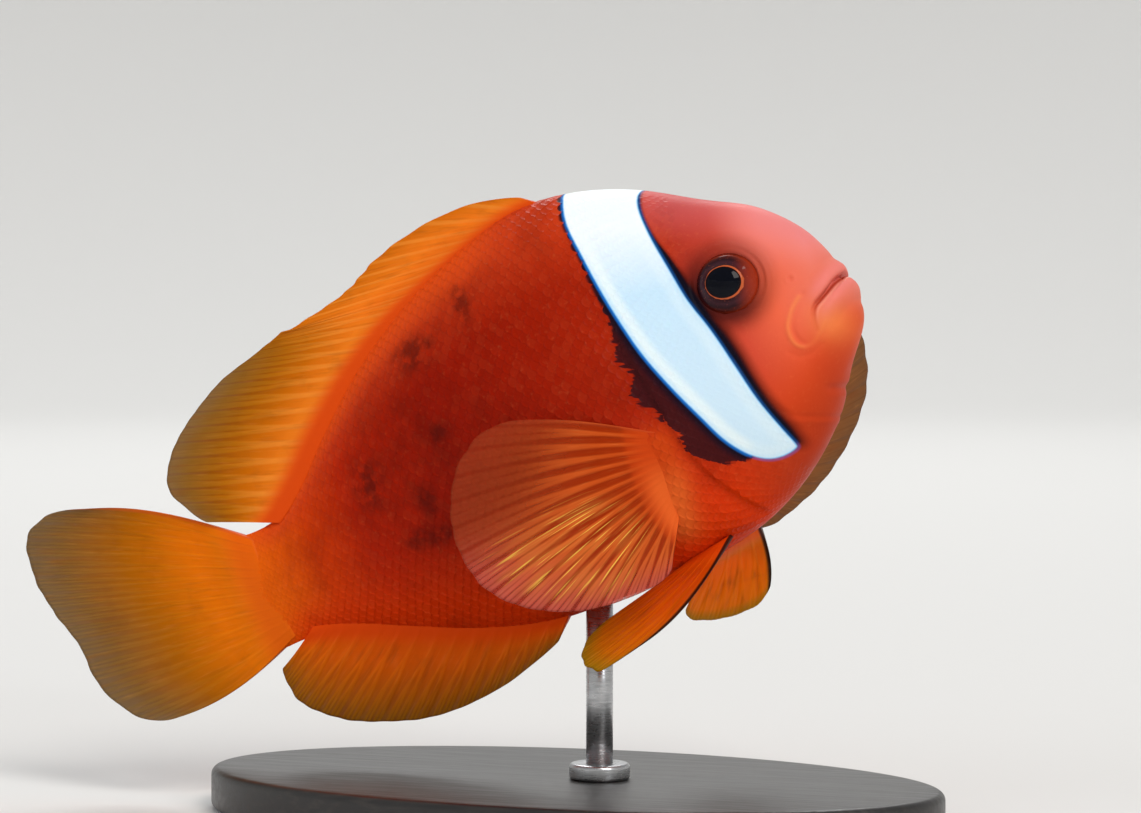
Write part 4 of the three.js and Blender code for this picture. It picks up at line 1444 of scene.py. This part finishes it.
@dataclass
class Fin:
    """One fin: a thin web that spreads over its rays, closed all round."""

    frame: FishFrame
    name: str
    nodes: tuple[str, ...]
    roots: np.ndarray  # where each ray starts
    along: np.ndarray
    up: np.ndarray
    angles: np.ndarray  # each ray's, in degrees from along towards up
    lengths: np.ndarray
    cup: Callable[[np.ndarray, np.ndarray], np.ndarray]  # how the web bows, from the ray's number and its share
    finish: FinWeb
    spines: int = 0  # how many of the first rays are spines, which don't fork
    root_half: float = 0.8
    root_spread: float = 2.6  # how far out the fleshy root reaches
    root_round: float = 0.0  # how much thinner the root is at its first and last rays
    web_half: float = 0.09
    ray_half: float = 0.08
    ray_width: float = 0.13  # half a ray's width at its root, as a share of the space between rays
    ray_taper: float = 0.5  # how much of that share is lost at the tip
    notch: float = 0.004
    spine_notch: float = 0.018
    corner: float = 0.13  # how much the outermost rays fall short, which rounds the fin's corners
    pleat: float = 0.03  # how far the web sinks between the rays
    bow: float = 0.0  # how far the first ray curves away from the rest
    splay: tuple[float, float] = (0.0, 0.0)  # how far the first and last rays bow outwards, in millimetres
    clear_rays: float = 0.0  # how many of the first rays the web is clearer over
    fresh_front: float = 0.0  # how far the first rays keep the root's colours
    steps: int = 46
    per_ray: int = 18

    def spiny(self, q: np.ndarray) -> np.ndarray:
        """Read how far the rays at q are spines, from 1 to 0."""
        return 1 - smooth(q, self.spines - 1, self.spines) if self.spines else np.zeros_like(q)

    def ray_relief(self, q: np.ndarray, r: np.ndarray) -> np.ndarray:
        """Read how near a place is to a ray, which forks twice unless it is a spine.

        Args:
            q: The place across the fin, counted in rays.
            r: Its share of the ray's length.

        Returns:
            1 on a ray, fading to 0 on the web.
        """
        off = q - np.round(q)
        soft = 1 - self.spiny(np.round(q))
        fork = 0.22 * smooth(r, 0.25, 0.7) * soft
        fine = 0.1 * smooth(r, 0.5, 0.9) * soft
        width = self.ray_width * (1 - self.ray_taper * r)
        near = [np.exp(-(((off - a * fork - b * fine) / width) ** 2)) for a in (-1, 1) for b in (-1, 1)]
        return np.max(near, axis=0)

    def sheet(self, q: np.ndarray, r: np.ndarray, side: float) -> tuple[np.ndarray, np.ndarray, np.ndarray]:
        """Read one face of the fin.

        Args:
            q: Places across the fin, counted in rays.
            r: Share of the ray's length.
            side: 1 or -1, for the face.

        Returns:
            Points in the fish's frame, nearness to a ray, and millimetres from the root.
        """
        count = len(self.lengths)
        t = q / (count - 1)
        random = np.random.default_rng(SEED + len(self.name))
        uneven = 1 - through(random.uniform(0, 0.006, count), t)
        between = 0.5 - 0.5 * np.cos(2 * math.pi * q)
        notch = self.notch + (self.spine_notch - self.notch) * self.spiny(q)
        angle = np.radians(through(self.angles, t))
        ends = np.clip(1 - np.minimum(q, count - 1 - q) / 1.1, 0, 1) ** 2
        reach = through(self.lengths, t) * uneven * (1 - notch * between * r**2) * (1 - self.corner * ends * r**2) * r
        normal = unit(np.cross(self.along, self.up))
        ray = self.ray_relief(q, r)
        root = np.exp(-((reach / self.root_spread) ** 2)) * np.sqrt(1 - self.root_round * (2 * t - 1) ** 2)
        half = self.web_half + (self.root_half - self.web_half) * root
        half = half + self.ray_half * ray * (1 - 0.6 * r) * (1 - root)
        offset = self.cup(q, r) - self.pleat * 2 * between * smooth(r, 0.05, 0.4) * (1 - root)
        first, last = (np.clip(1 - 2.5 * way, 0, 1) ** 1.5 for way in (t, 1 - t))
        outer = self.splay[0] * first - self.splay[1] * last
        bend = (outer - self.bow * (1 - t)) * np.sin(math.pi * r)
        points = (
            np.stack([through(self.roots[:, k], t) for k in range(3)], -1)
            + (np.cos(angle) * reach)[..., None] * self.along
            + (np.sin(angle) * reach + bend)[..., None] * self.up
            + (offset + side * half)[..., None] * normal
        )
        return points, ray, reach

    def build(self) -> bpy.types.Object:
        """Make the fin's mesh.

        Returns:
            The fin.
        """
        rays = len(self.lengths)
        columns = (rays - 1) * self.per_ray + 1
        q, r = np.meshgrid(np.linspace(0, rays - 1, columns), np.linspace(0, 1, self.steps + 1))
        top, bottom = (self.sheet(q, r, side) for side in (1, -1))
        points = np.concatenate([face[0].reshape(-1, 3) for face in (top, bottom)])
        count = q.size
        upper = grid_faces(self.steps + 1, columns)
        rim = [
            *range(columns - 1),
            *range(columns - 1, count - 1, columns),
            *range(count - 1, count - columns, -1),
            *range(count - columns, 0, -columns),
        ]
        after = rim[1:] + rim[:1]
        edge = np.array([[a, b, b + count, a + count] for a, b in zip(rim, after)])
        across, out = q.ravel(), r.ravel()
        # Where a fin's painted glints and sheen lie, if it has them.
        shine = smooth(across, 5, 7) * (1 - smooth(across, 11, 13))
        shine = shine * smooth(out, 0.2, 0.4) * (1 - smooth(out, 0.8, 0.98))
        clearer = (1 - smooth(across, 0.3 * self.clear_rays, self.clear_rays)) if self.clear_rays else across * 0
        top_and_bottom = [np.concatenate([top[k].ravel(), bottom[k].ravel()]) for k in (1, 2)]
        values = {
            "place": points,
            "reach": np.tile(out * (1 - self.fresh_front * (1 - smooth(across / (rays - 1), 0.3, 0.65))), 2),
            "ray": top_and_bottom[0],
            "reach_mm": top_and_bottom[1],
            "leading": np.tile(np.exp(-((across / 0.42) ** 2)), 2),
            "shine": np.tile(shine, 2),
            "veil": np.tile(clearer * smooth(out, 0.25, 0.8), 2),
            "foot": np.tile(smooth(across / (rays - 1), 0.2, 0.65), 2),
            "fan": np.stack([np.tile(across, 2), top_and_bottom[1], np.full(2 * count, float(len(self.name)))], -1),
        }
        faces = [upper, (upper + count)[:, ::-1], edge[:, ::-1]]
        return make_mesh(self.name, self.frame.place(points), faces, values)

    def dress(self, fin: bpy.types.Object) -> None:
        """Give the fin its finish."""
        fin.data.materials.append(self.finish.material(f"fin_web_{self.name}"))
        ride(fin, Slot.FIN, self.nodes)


@dataclass
class FinSet:
    """All the fins, with their sizes."""

    frame: FishFrame
    body: BodyShape
    rooted: float = 1.2  # how deep the rays start under the skin

    def median_roots(self, line: Sequence[Sequence[float]], start: float, end: float, rays: int) -> np.ndarray:
        """List where a fin's rays start on the back or the belly.

        Args:
            line: The back or the belly.
            start: The first ray's x.
            end: The last ray's x.
            rays: How many there are.

        Returns:
            A point for each ray.
        """
        x = np.linspace(start, end, rays)
        inward = -self.rooted if line is BACK else self.rooted
        return np.stack([x, np.zeros(rays), self.body.height_at(line, x) + inward], -1)

    def pectoral_roots(self, side: Side, rays: int) -> np.ndarray:
        """List where a pectoral fin's rays start on one flank, from its top ray to its foot.

        Args:
            side: The flank.
            rays: How many there are.

        Returns:
            A point for each ray.
        """
        (top_x, top_z), (foot_x, foot_z) = (54.0, -4.7), (51.7, -13.4)
        line = []
        for share in (0, 0.5, 1):
            x, z = top_x + (foot_x - top_x) * share, top_z + (foot_z - top_z) * share
            line.append((x, side.value * (self.body.half_width(x, z) - 0.6), z))
        return along_curve(line, np.linspace(0, 1, rays))

    def dorsal(self) -> Fin:
        """Lay out the dorsal fin: ten spines and then sixteen soft rays, in one web.

        Returns:
            The fin.
        """
        spines, rays = 10, 16
        t_spines, t_rays = np.linspace(0, 1, spines), np.linspace(0, 1, rays)
        web = FinWeb(
            ((0, "ee5e10"), (0.22, "fb8c20"), (0.45, "d87604"), (0.7, "a65c04"), (0.9, "94622a"), (1, "8c6640")),
            ((0, "f47a28"), (0.3, "ffa43c"), (0.6, "cc8010"), (0.85, "a07024"), (1, "967648")),
            root_colour="d8480a", root_depth=3.3, edge_alpha=0.82, web_alpha=0.97, groove="a04e0a",
        )

        def cup(q: np.ndarray, r: np.ndarray) -> np.ndarray:
            """Bow the spiny part one way and wave the soft part.

            Args:
                q: The place across the fin, counted in rays.
                r: Its share of the ray's length.

            Returns:
                Millimetres out of the middle plane.
            """
            front = 0.5 * r * np.sin(3 * np.clip(q / (spines - 1), 0, 1))
            rear = 1.1 * r * r * np.sin(4.5 * np.clip((q - spines) / (rays - 1), 0, 1) + 0.6)
            share = smooth(q, spines - 3, spines + 2)
            return front + (rear - front) * share

        return Fin(
            self.frame, "dorsal_fin", ("dorsal_fin_spiny", "dorsal_fin_soft"),
            np.vstack([self.median_roots(BACK, 50.5, 33.4, spines), self.median_roots(BACK, 32.4, 5, rays)]),
            np.array([-1.0, 0, 0]), np.array([0, 0, 1.0]),
            np.concatenate([
                through((41, 28, 19, 14, 11.5, 10.5, 10, 10.5), t_spines),
                through((12.5, 16.5, 19, 20.5, 21.5, 23, 25), t_rays),
            ]),
            np.concatenate([
                through((4.4, 9.4, 13.4, 15.5, 15.8, 15.9, 17.5, 19.0), t_spines),
                through((18.6, 18.1, 19.4, 19.8, 19.5, 17.2, 10.6), t_rays),
            ]),
            cup, web, spines=spines, root_half=0.95, root_spread=3.2, fresh_front=0.6, ray_width=0.2, ray_taper=0.35,
        )

    def median(self) -> list[Fin]:
        """Lay out the fins of the middle plane.

        Returns:
            The dorsal fin, the anal fin and the tail fin.
        """
        back, up, down = np.array([-1.0, 0, 0]), np.array([0, 0, 1.0]), np.array([0, 0, -1.0])
        anal = FinWeb(
            ((0, "e84e04"), (0.4, "e46402"), (0.8, "b45e02"), (1, "8c5408")),
            ((0, "f06010"), (0.5, "e8740c"), (1, "a46c14")),
            root_colour="dc4404", root_depth=2.6, edge_alpha=0.86, web_alpha=0.95, groove="8e3204",
        )
        tail = FinWeb(
            ((0, "f07004"), (0.3, "ee7e02"), (0.6, "ba6a02"), (0.85, "8e6028"), (1, "846844")),
            ((0, "f07608"), (0.3, "f48a10"), (0.5, "c87604"), (0.85, "9a7238"), (1, "8c7048")),
            root_colour="de5e08", root_depth=3.8, edge_alpha=0.8, web_alpha=0.97, groove="a65c04", lead="d2541e",
            lead_share=0.6, ray_strength=0.45,
        )
        rays = {"anal": np.linspace(0, 1, 15), "tail": np.linspace(0, 1, 14)}
        return [
            self.dorsal(),
            Fin(
                self.frame, "anal_fin_rays", ("anal_fin",), self.median_roots(BELLY, 33.5, 3.5, 15), back, down,
                through((39, 38, 37, 34, 31, 28, 26), rays["anal"]),
                through((5.1, 9.1, 12.0, 13.6, 13.9, 12.0, 7.2), rays["anal"]),
                lambda q, r: -0.9 * r * r * np.sin(4 * q / 14), anal, root_half=0.75,
            ),
            Fin(
                self.frame, "tail_fin", ("caudal_fin",),
                np.stack([np.full(14, 0.9), np.zeros(14), 6.1 - 12.2 * rays["tail"]], -1), back, up,
                through((33.8, 29.2, 23.6, 18.9, 13.6, 4.6, -8.7), rays["tail"]),
                through((25.1, 30.0, 30.3, 28.8, 26.4, 25.0, 20.2), rays["tail"]),
                lambda q, r: -1.6 * r * r + 0.5 * r * np.sin(5 * q / 13), tail, root_half=1.4, root_spread=5.4,
                steps=56, splay=(1.3, 1.1), root_round=0.9,
            ),
        ]

    def paired(self) -> list[Fin]:
        """Lay out the pectoral and pelvic fins.

        Returns:
            The four fins.
        """
        near = FinWeb(
            ((0, "c03c0a"), (0.3, "ae3406"), (0.7, "b03a16"), (1, "b24034")),
            ((0, "c84410"), (0.25, "d0561a"), (0.6, "dc682a"), (0.8, "e06c40"), (1, "d86c5c")),
            root_colour="c4400e", foot_colour="de5e22", root_depth=2.4, edge_alpha=0.5, web_alpha=0.72,
            ray_strength=0.72, groove="98300c", through_light=0.1, lead="c8502a", lead_share=0.4, painted_glints="ffd058",
            upper="b04820",
        )
        # The far pectoral fin is painted browner and duller towards its edge than the near one, as it looks in shade
        # behind the body.
        far = FinWeb(
            ((0, "d04c18"), (0.4, "bc4c18"), (0.68, "885026"), (1, "744c2c")),
            ((0, "dc5c28"), (0.4, "c85c28"), (0.68, "90582e"), (1, "7c5434")),
            root_colour="cc4a16", root_depth=2.4, edge_alpha=0.84, web_alpha=0.94, ray_strength=0.5,
            groove="7a3814", through_light=0.15,
        )
        pelvic = FinWeb(
            ((0, "f04a02"), (0.5, "f06402"), (0.85, "e07404"), (1, "b08410")),
            ((0, "f45e0c"), (0.6, "f6780a"), (0.85, "e8840c"), (1, "bc8c18")),
            root_colour="d84004", root_depth=2.2, edge_alpha=0.86, through_light=0.4, lead="1a0a08", lead_share=0.94,
        )
        shares = np.linspace(0, 1, 16)
        angles = through((30, 20, 10, 0, -10, -20, -31, -43, -58), shares)
        lengths = through((18.4, 22.2, 24.2, 24.5, 23.2, 19.8, 15.4, 10.8, 7.0), shares)
        fins = []
        for side, out, spine, turn, bow, clear, pectoral in (
            (Side.RIGHT, (-1, -0.24, 0), (0, 0.12, 1), 0, -0.6, 9, near),
            (Side.LEFT, (0.56, 0.83, 0), (0.2, -0.5, 1), 18, 0, 0, far),
        ):
            along = unit(np.array(out, float))
            up = unit(np.array(spine, float) - np.dot(spine, along) * along)
            fins.append(Fin(
                self.frame, side.of("pectoral_rays"), (side.of("pectoral_fin"),), self.pectoral_roots(side, 16),
                along, up, angles + turn, lengths * (1.03 if turn else 1),
                lambda q, r, sign=side.value: sign * np.sin(math.pi * r * 0.8) * (0.4 + np.sin(math.pi * q / 15)),
                pectoral, root_half=0.42, root_spread=2.6, pleat=0.05 * side.value, ray_half=0.08,
                ray_width=0.27, ray_taper=0.62, clear_rays=clear, bow=bow,
            ))
        # The far pelvic fin, in the body's shadow, is painted lighter and more orange than the near one.
        pelvic_painted_lighter = replace(
            pelvic, root_colour="f05c10", through_light=0.5,
            web_stops=((0, "ff7a0c"), (0.5, "ff8e08"), (0.85, "fa980c"), (1, "c49814")),
            ray_stops=((0, "ff8a20"), (0.6, "ff9c14"), (0.85, "fca414"), (1, "cca41c")),
        )
        for side, finish, lead, trail, reach, bulge, bow in (
            (Side.RIGHT, pelvic, ((55.0, -3.2, -17.8), (39.7, -7.5, -24.9)), ((49.5, -2.2, -18.2), (36.5, -5.0, -20.6)),
             (19.8, 19.9, 17.6, 13.2), -0.8, 1.3),
            (Side.LEFT, pelvic_painted_lighter, ((56.4, 3.2, -17.2), (51.2, 12.8, -24.0)), ((50.0, 2.0, -18.2), (41.7, 9.0, -22.6)),
             (14.2, 16.2, 15.6, 12.8), 0.8, 0.5),
        ):
            (lead_root, lead_tip), (trail_root, trail_tip) = (np.array(line, float) for line in (lead, trail))
            along, backward = unit(lead_tip - lead_root), unit(trail_tip - trail_root)
            spread = math.degrees(math.acos(float(along @ backward)))
            shares = np.linspace(0, 1, 6)
            fins.append(Fin(
                self.frame, side.of("pelvic_rays"), (side.of("pelvic_fin"),),
                lead_root + (trail_root - lead_root) * shares[:, None],
                along, unit(backward - (backward @ along) * along), through((0, spread / 2, spread), shares),
                through(reach, shares), lambda q, r, bulge=bulge: bulge * np.sin(math.pi * q / 5) * r,
                finish, root_half=0.6, notch=0.01, spines=1, bow=bow, corner=0.15,
            ))
        return fins


# ---------- eyes ----------


@dataclass
class Eye:
    """One eyeball, a flattened ball with its iris and pupil towards the way it looks."""

    frame: FishFrame
    side: Side
    rings: int = 72
    sides: int = 96
    pupil: float = 1.8
    pupil_bulge: float = 0.12
    pupil_at: tuple[float, float] = (-0.3, -0.2)

    def build(self) -> bpy.types.Object:
        """Make the eyeball's mesh.

        Returns:
            The eye.
        """
        mirror = np.array([1, self.side.value, 1])
        look = EYE_LOOK * mirror
        upward = unit(np.array([0.35, 0, 0.94]) - look * (look @ np.array([0.35, 0, 0.94])))
        across = np.cross(upward, look)
        polar, round_it = np.meshgrid(
            np.linspace(0.001, math.pi - 0.001, self.rings), np.linspace(0, 2 * math.pi, self.sides, endpoint=False),
            indexing="ij",
        )
        radius = EYE_RADIUS * np.sin(polar)
        u, v = radius * np.cos(round_it), radius * np.sin(round_it)
        # The pupil sits a little back from the middle, and is longer along than across. The ring round it is
        # broadest in front.
        forward = -self.side.value * u
        from_pupil = np.hypot((forward - self.pupil_at[0]) / 1.08, (v - self.pupil_at[1]) / 0.95)
        from_ring = np.hypot((forward - self.pupil_at[0] - 0.12) / 1.08, (v - self.pupil_at[1]) / 0.95)
        front = np.cos(polar) > 0
        lens = self.pupil_bulge * np.clip(1 - (from_pupil / self.pupil) ** 2, 0, 1)
        ring = 0.07 * np.exp(-(((from_pupil - self.pupil - 0.15) / 0.16) ** 2))
        bowl = -0.10 * smooth(from_pupil, 1.9, 2.3) * (1 - smooth(from_pupil, 2.5, 3.2))
        height = EYE_DEPTH * np.cos(polar) + front * (lens + ring + bowl - 0.12)
        points = (
            EYE_CENTRE * mirror + u[..., None] * across + v[..., None] * upward + height[..., None] * look
        ).reshape(-1, 3)
        values = {
            "place": points,
            "from_pupil": np.where(front, from_pupil / EYE_RADIUS, 1.0).ravel(),
            "from_ring": np.where(front, from_ring / EYE_RADIUS, 1.0).ravel(),
            "forward": (forward / EYE_RADIUS).ravel(),
        }
        faces = [
            grid_faces(self.rings, self.sides, closed=True),
            np.arange(self.sides)[None, ::-1],
            np.arange(self.sides)[None] + (self.rings - 1) * self.sides,
        ]
        faces = faces if self.side is Side.RIGHT else [block[:, ::-1] for block in faces]
        return make_mesh(self.side.of("eyeball"), self.frame.place(points), faces, values)

    def dress(self, eye: bpy.types.Object, finish: bpy.types.Material) -> None:
        """Give the eyeball its finish."""
        eye.data.materials.append(finish)
        ride(eye, Slot.EYE, [self.side.of("eye")])


# ---------- the stand ----------


@dataclass
class Stand:
    """The oval base, the rod and the collar round the rod's foot."""

    bevel: float = 0.9
    sides: int = 160
    nodes: tuple[str, str, str] = ("stand_base", "stand_rod", "stand_collar")

    def turned(
        self, name: str, profile: Sequence[tuple[float, float]], centre: Sequence[float], oval: float = 0.0
    ) -> bpy.types.Object:
        """Turn a profile about an upright axis.

        Args:
            name: The piece's name.
            profile: Radius and height from the bottom's middle to the top's, in millimetres.
            centre: The axis, as x and y in millimetres.
            oval: How much less each radius is across than along, in millimetres.

        Returns:
            The piece.
        """
        angle = np.linspace(0, 2 * math.pi, self.sides, endpoint=False)
        rings = []
        for radius, height in profile:
            wide = max(radius - oval, 0.01)
            rings.append(np.stack([
                centre[0] + radius * np.cos(angle), centre[1] + wide * np.sin(angle), np.full(self.sides, height)
            ], -1))
        points = np.concatenate(rings)
        ends = [np.arange(self.sides)[None, ::-1], np.arange(self.sides)[None] + (len(profile) - 1) * self.sides]
        faces = [grid_faces(len(profile), self.sides, closed=True), *ends]
        return make_mesh(name, points * MM, faces, {"place": points})

    @staticmethod
    def rounded(radius: float, low: float, high: float, bevel: float) -> list[tuple[float, float]]:
        """List a disc's profile with rounded edges.

        Args:
            radius: The disc's radius.
            low: Its underside.
            high: Its top.
            bevel: The radius of its edges.

        Returns:
            Radius and height from the bottom's middle to the top's.
        """
        turn = np.linspace(0, math.pi / 2, 7)
        foot = [(radius - bevel + bevel * math.sin(a), low + bevel - bevel * math.cos(a)) for a in turn]
        head = [(radius - bevel + bevel * math.cos(a), high - bevel + bevel * math.sin(a)) for a in turn]
        return [(radius - 2 * bevel, low), *foot, *head, (radius - 2 * bevel, high)]

    def build(self) -> list[bpy.types.Object]:
        """Make the base, rod and collar where the solids stand.

        Returns:
            The three pieces.
        """
        sizes = {}
        for node in self.nodes:
            low, high = (np.array(corner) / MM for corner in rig.box(node))
            sizes[node] = (low, high, (low + high) / 2)
        low, high, middle = sizes["stand_base"]
        oval = (high[0] - low[0] - high[1] + low[1]) / 2
        base = self.turned(
            "base_board", self.rounded((high[0] - low[0]) / 2, low[2], high[2], self.bevel), middle, oval
        )
        low, high, middle = sizes["stand_rod"]
        radius = (high[0] - low[0]) / 2
        rod = self.turned("support_rod", [(radius, low[2]), (radius, high[2] + 1.0)], middle)
        low, high, middle = sizes["stand_collar"]
        collar = self.turned(
            "rod_collar", self.rounded((high[0] - low[0]) / 2, sizes["stand_base"][1][2] - 0.05, high[2], 0.45), middle
        )
        return [base, rod, collar]

    def dress(self, pieces: Sequence[bpy.types.Object]) -> None:
        """Give the stand its wood and steel.

        Args:
            pieces: The base, rod and collar.
        """
        wood = StainedWood().material("beech_stained_black_waxed")
        steel = BrushedSteel().material("stainless_steel_turned_brushed")
        wooden, metal = (wood, Slot.BASE), (steel, Slot.ROD)
        for piece, node, (finish, slot) in zip(pieces, self.nodes, (wooden, metal, metal)):
            piece.data.materials.append(finish)
            ride(piece, slot, [node])


# ---------- the studio ----------


@dataclass
class Studio:
    """A pale floor that curves up into a pale wall all round, soft lights, and the camera."""

    radius: float = 1.5
    height: float = 0.7
    azimuth: float = 21.0
    elevation: float = 2.5
    lens: float = 120.0
    camera_place: tuple[float, float, float] = (0.15209, -0.39589, 0.06488)

    def build_floor(self) -> None:
        """Make the floor and its curved wall."""
        turn = np.linspace(0, math.pi / 2, 16)
        cove = 0.5
        profile = [(0.02, 0.0), (self.radius - cove, 0.0)]
        profile += [(self.radius - cove + cove * math.sin(a), cove - cove * math.cos(a)) for a in turn[1:]]
        profile.append((self.radius, self.height))
        angle = np.linspace(0, 2 * math.pi, 128, endpoint=False)
        points = np.concatenate([
            np.stack([r * np.cos(angle), r * np.sin(angle), np.full(128, z)], -1) for r, z in profile
        ])
        faces = [grid_faces(len(profile), 128, closed=True)[:, ::-1], np.arange(128)[None]]
        floor = make_mesh("studio_floor", points, faces, {"place": points / MM})
        p = Paint("studio_paper_matt")
        p.lay("dfdfdd")
        floor.data.materials.append(p.close(Roughness=0.9, Specular_IOR_Level=0.1))
        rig.stage(floor)

    def build_light(
        self, name: str, place: Sequence[float], size: float, power: float, colour: str, glossy: bool = True
    ) -> None:
        """Hang one square soft light that faces the fish.

        Args:
            name: The light's name.
            place: Where it hangs, in metres.
            size: Its width, in metres.
            power: Its power, in watts.
            colour: Its colour, as a hex value.
            glossy: Whether wet surfaces mirror it.
        """
        data = bpy.data.lights.new(name, "AREA")
        data.size, data.energy, data.color = size, power, linear(colour)[:3]
        light = bpy.data.objects.new(name, data)
        light.location = place
        light.visible_glossy = glossy
        light.rotation_euler = (Vector(place) - Vector((0.0, 0.0, 0.04))).to_track_quat("Z", "Y").to_euler()
        bpy.context.scene.collection.objects.link(light)

    def build_lights(self) -> None:
        """Hang the lights and set the pale surroundings."""
        self.build_light("key_light", (0.9, -0.75, 1.25), 0.7, 13.2, "fff8f2")
        self.build_light("catch_light", (0.77, -0.49, 0.45), 0.1, 1.0, "f4faff")
        self.build_light("fill_light", (-0.8, -0.8, 0.5), 0.8, 3.0, "f2f6ff", glossy=False)
        self.build_light("rim_light", (-0.35, 0.8, 0.9), 0.6, 6.0, "ffffff")
        world = bpy.data.worlds.new("studio_air")
        world.use_nodes = True
        world.node_tree.nodes.clear()
        sky = add_node(world.node_tree, "ShaderNodeBackground", {"Color": linear("f4f5f7"), "Strength": 0.45})
        add_node(world.node_tree, "ShaderNodeOutputWorld", {"Surface": sky.outputs[0]})
        bpy.context.scene.world = world

    def build_camera(self) -> None:
        """Set the camera a little above the level of the fish, on its right side."""
        data = bpy.data.cameras.new("camera")
        data.lens, data.sensor_width = self.lens, 36.0
        data.clip_start, data.clip_end = 0.01, 20.0
        camera = bpy.data.objects.new("camera", data)
        a, e = math.radians(self.azimuth), math.radians(self.elevation)
        back = Vector((math.sin(a) * math.cos(e), -math.cos(a) * math.cos(e), math.sin(e)))
        camera.location = self.camera_place
        camera.rotation_euler = back.to_track_quat("Z", "Y").to_euler()
        bpy.context.scene.collection.objects.link(camera)
        bpy.context.scene.camera = camera
        bpy.context.scene.view_settings.view_transform = "Standard"


def main() -> None:
    """Build the studio, the fish and its stand, in order."""
    studio = Studio()
    studio.build_camera()
    studio.build_floor()
    studio.build_lights()
    place, body = FishFrame(), BodyShape()
    skin = FleshSkin(place, body)
    skin.dress(skin.build())
    coat = ScaleCoat(place, body)
    coat.dress(coat.build())
    fins = FinSet(place, body)
    for fin in (*fins.median(), *fins.paired()):
        fin.dress(fin.build())
    finish = FishEye().material("eye_under_wet_cornea")
    for side in Side:
        eye = Eye(place, side)
        eye.dress(eye.build(), finish)
    stand = Stand()
    stand.dress(stand.build())


if __name__ == "__main__":
    main()
    shown_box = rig.bounds()
    with open("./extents.json", "w") as file:
        json.dump({"cad": [list(c) for c in cad_box], "visual": [list(c) for c in shown_box]}, file)
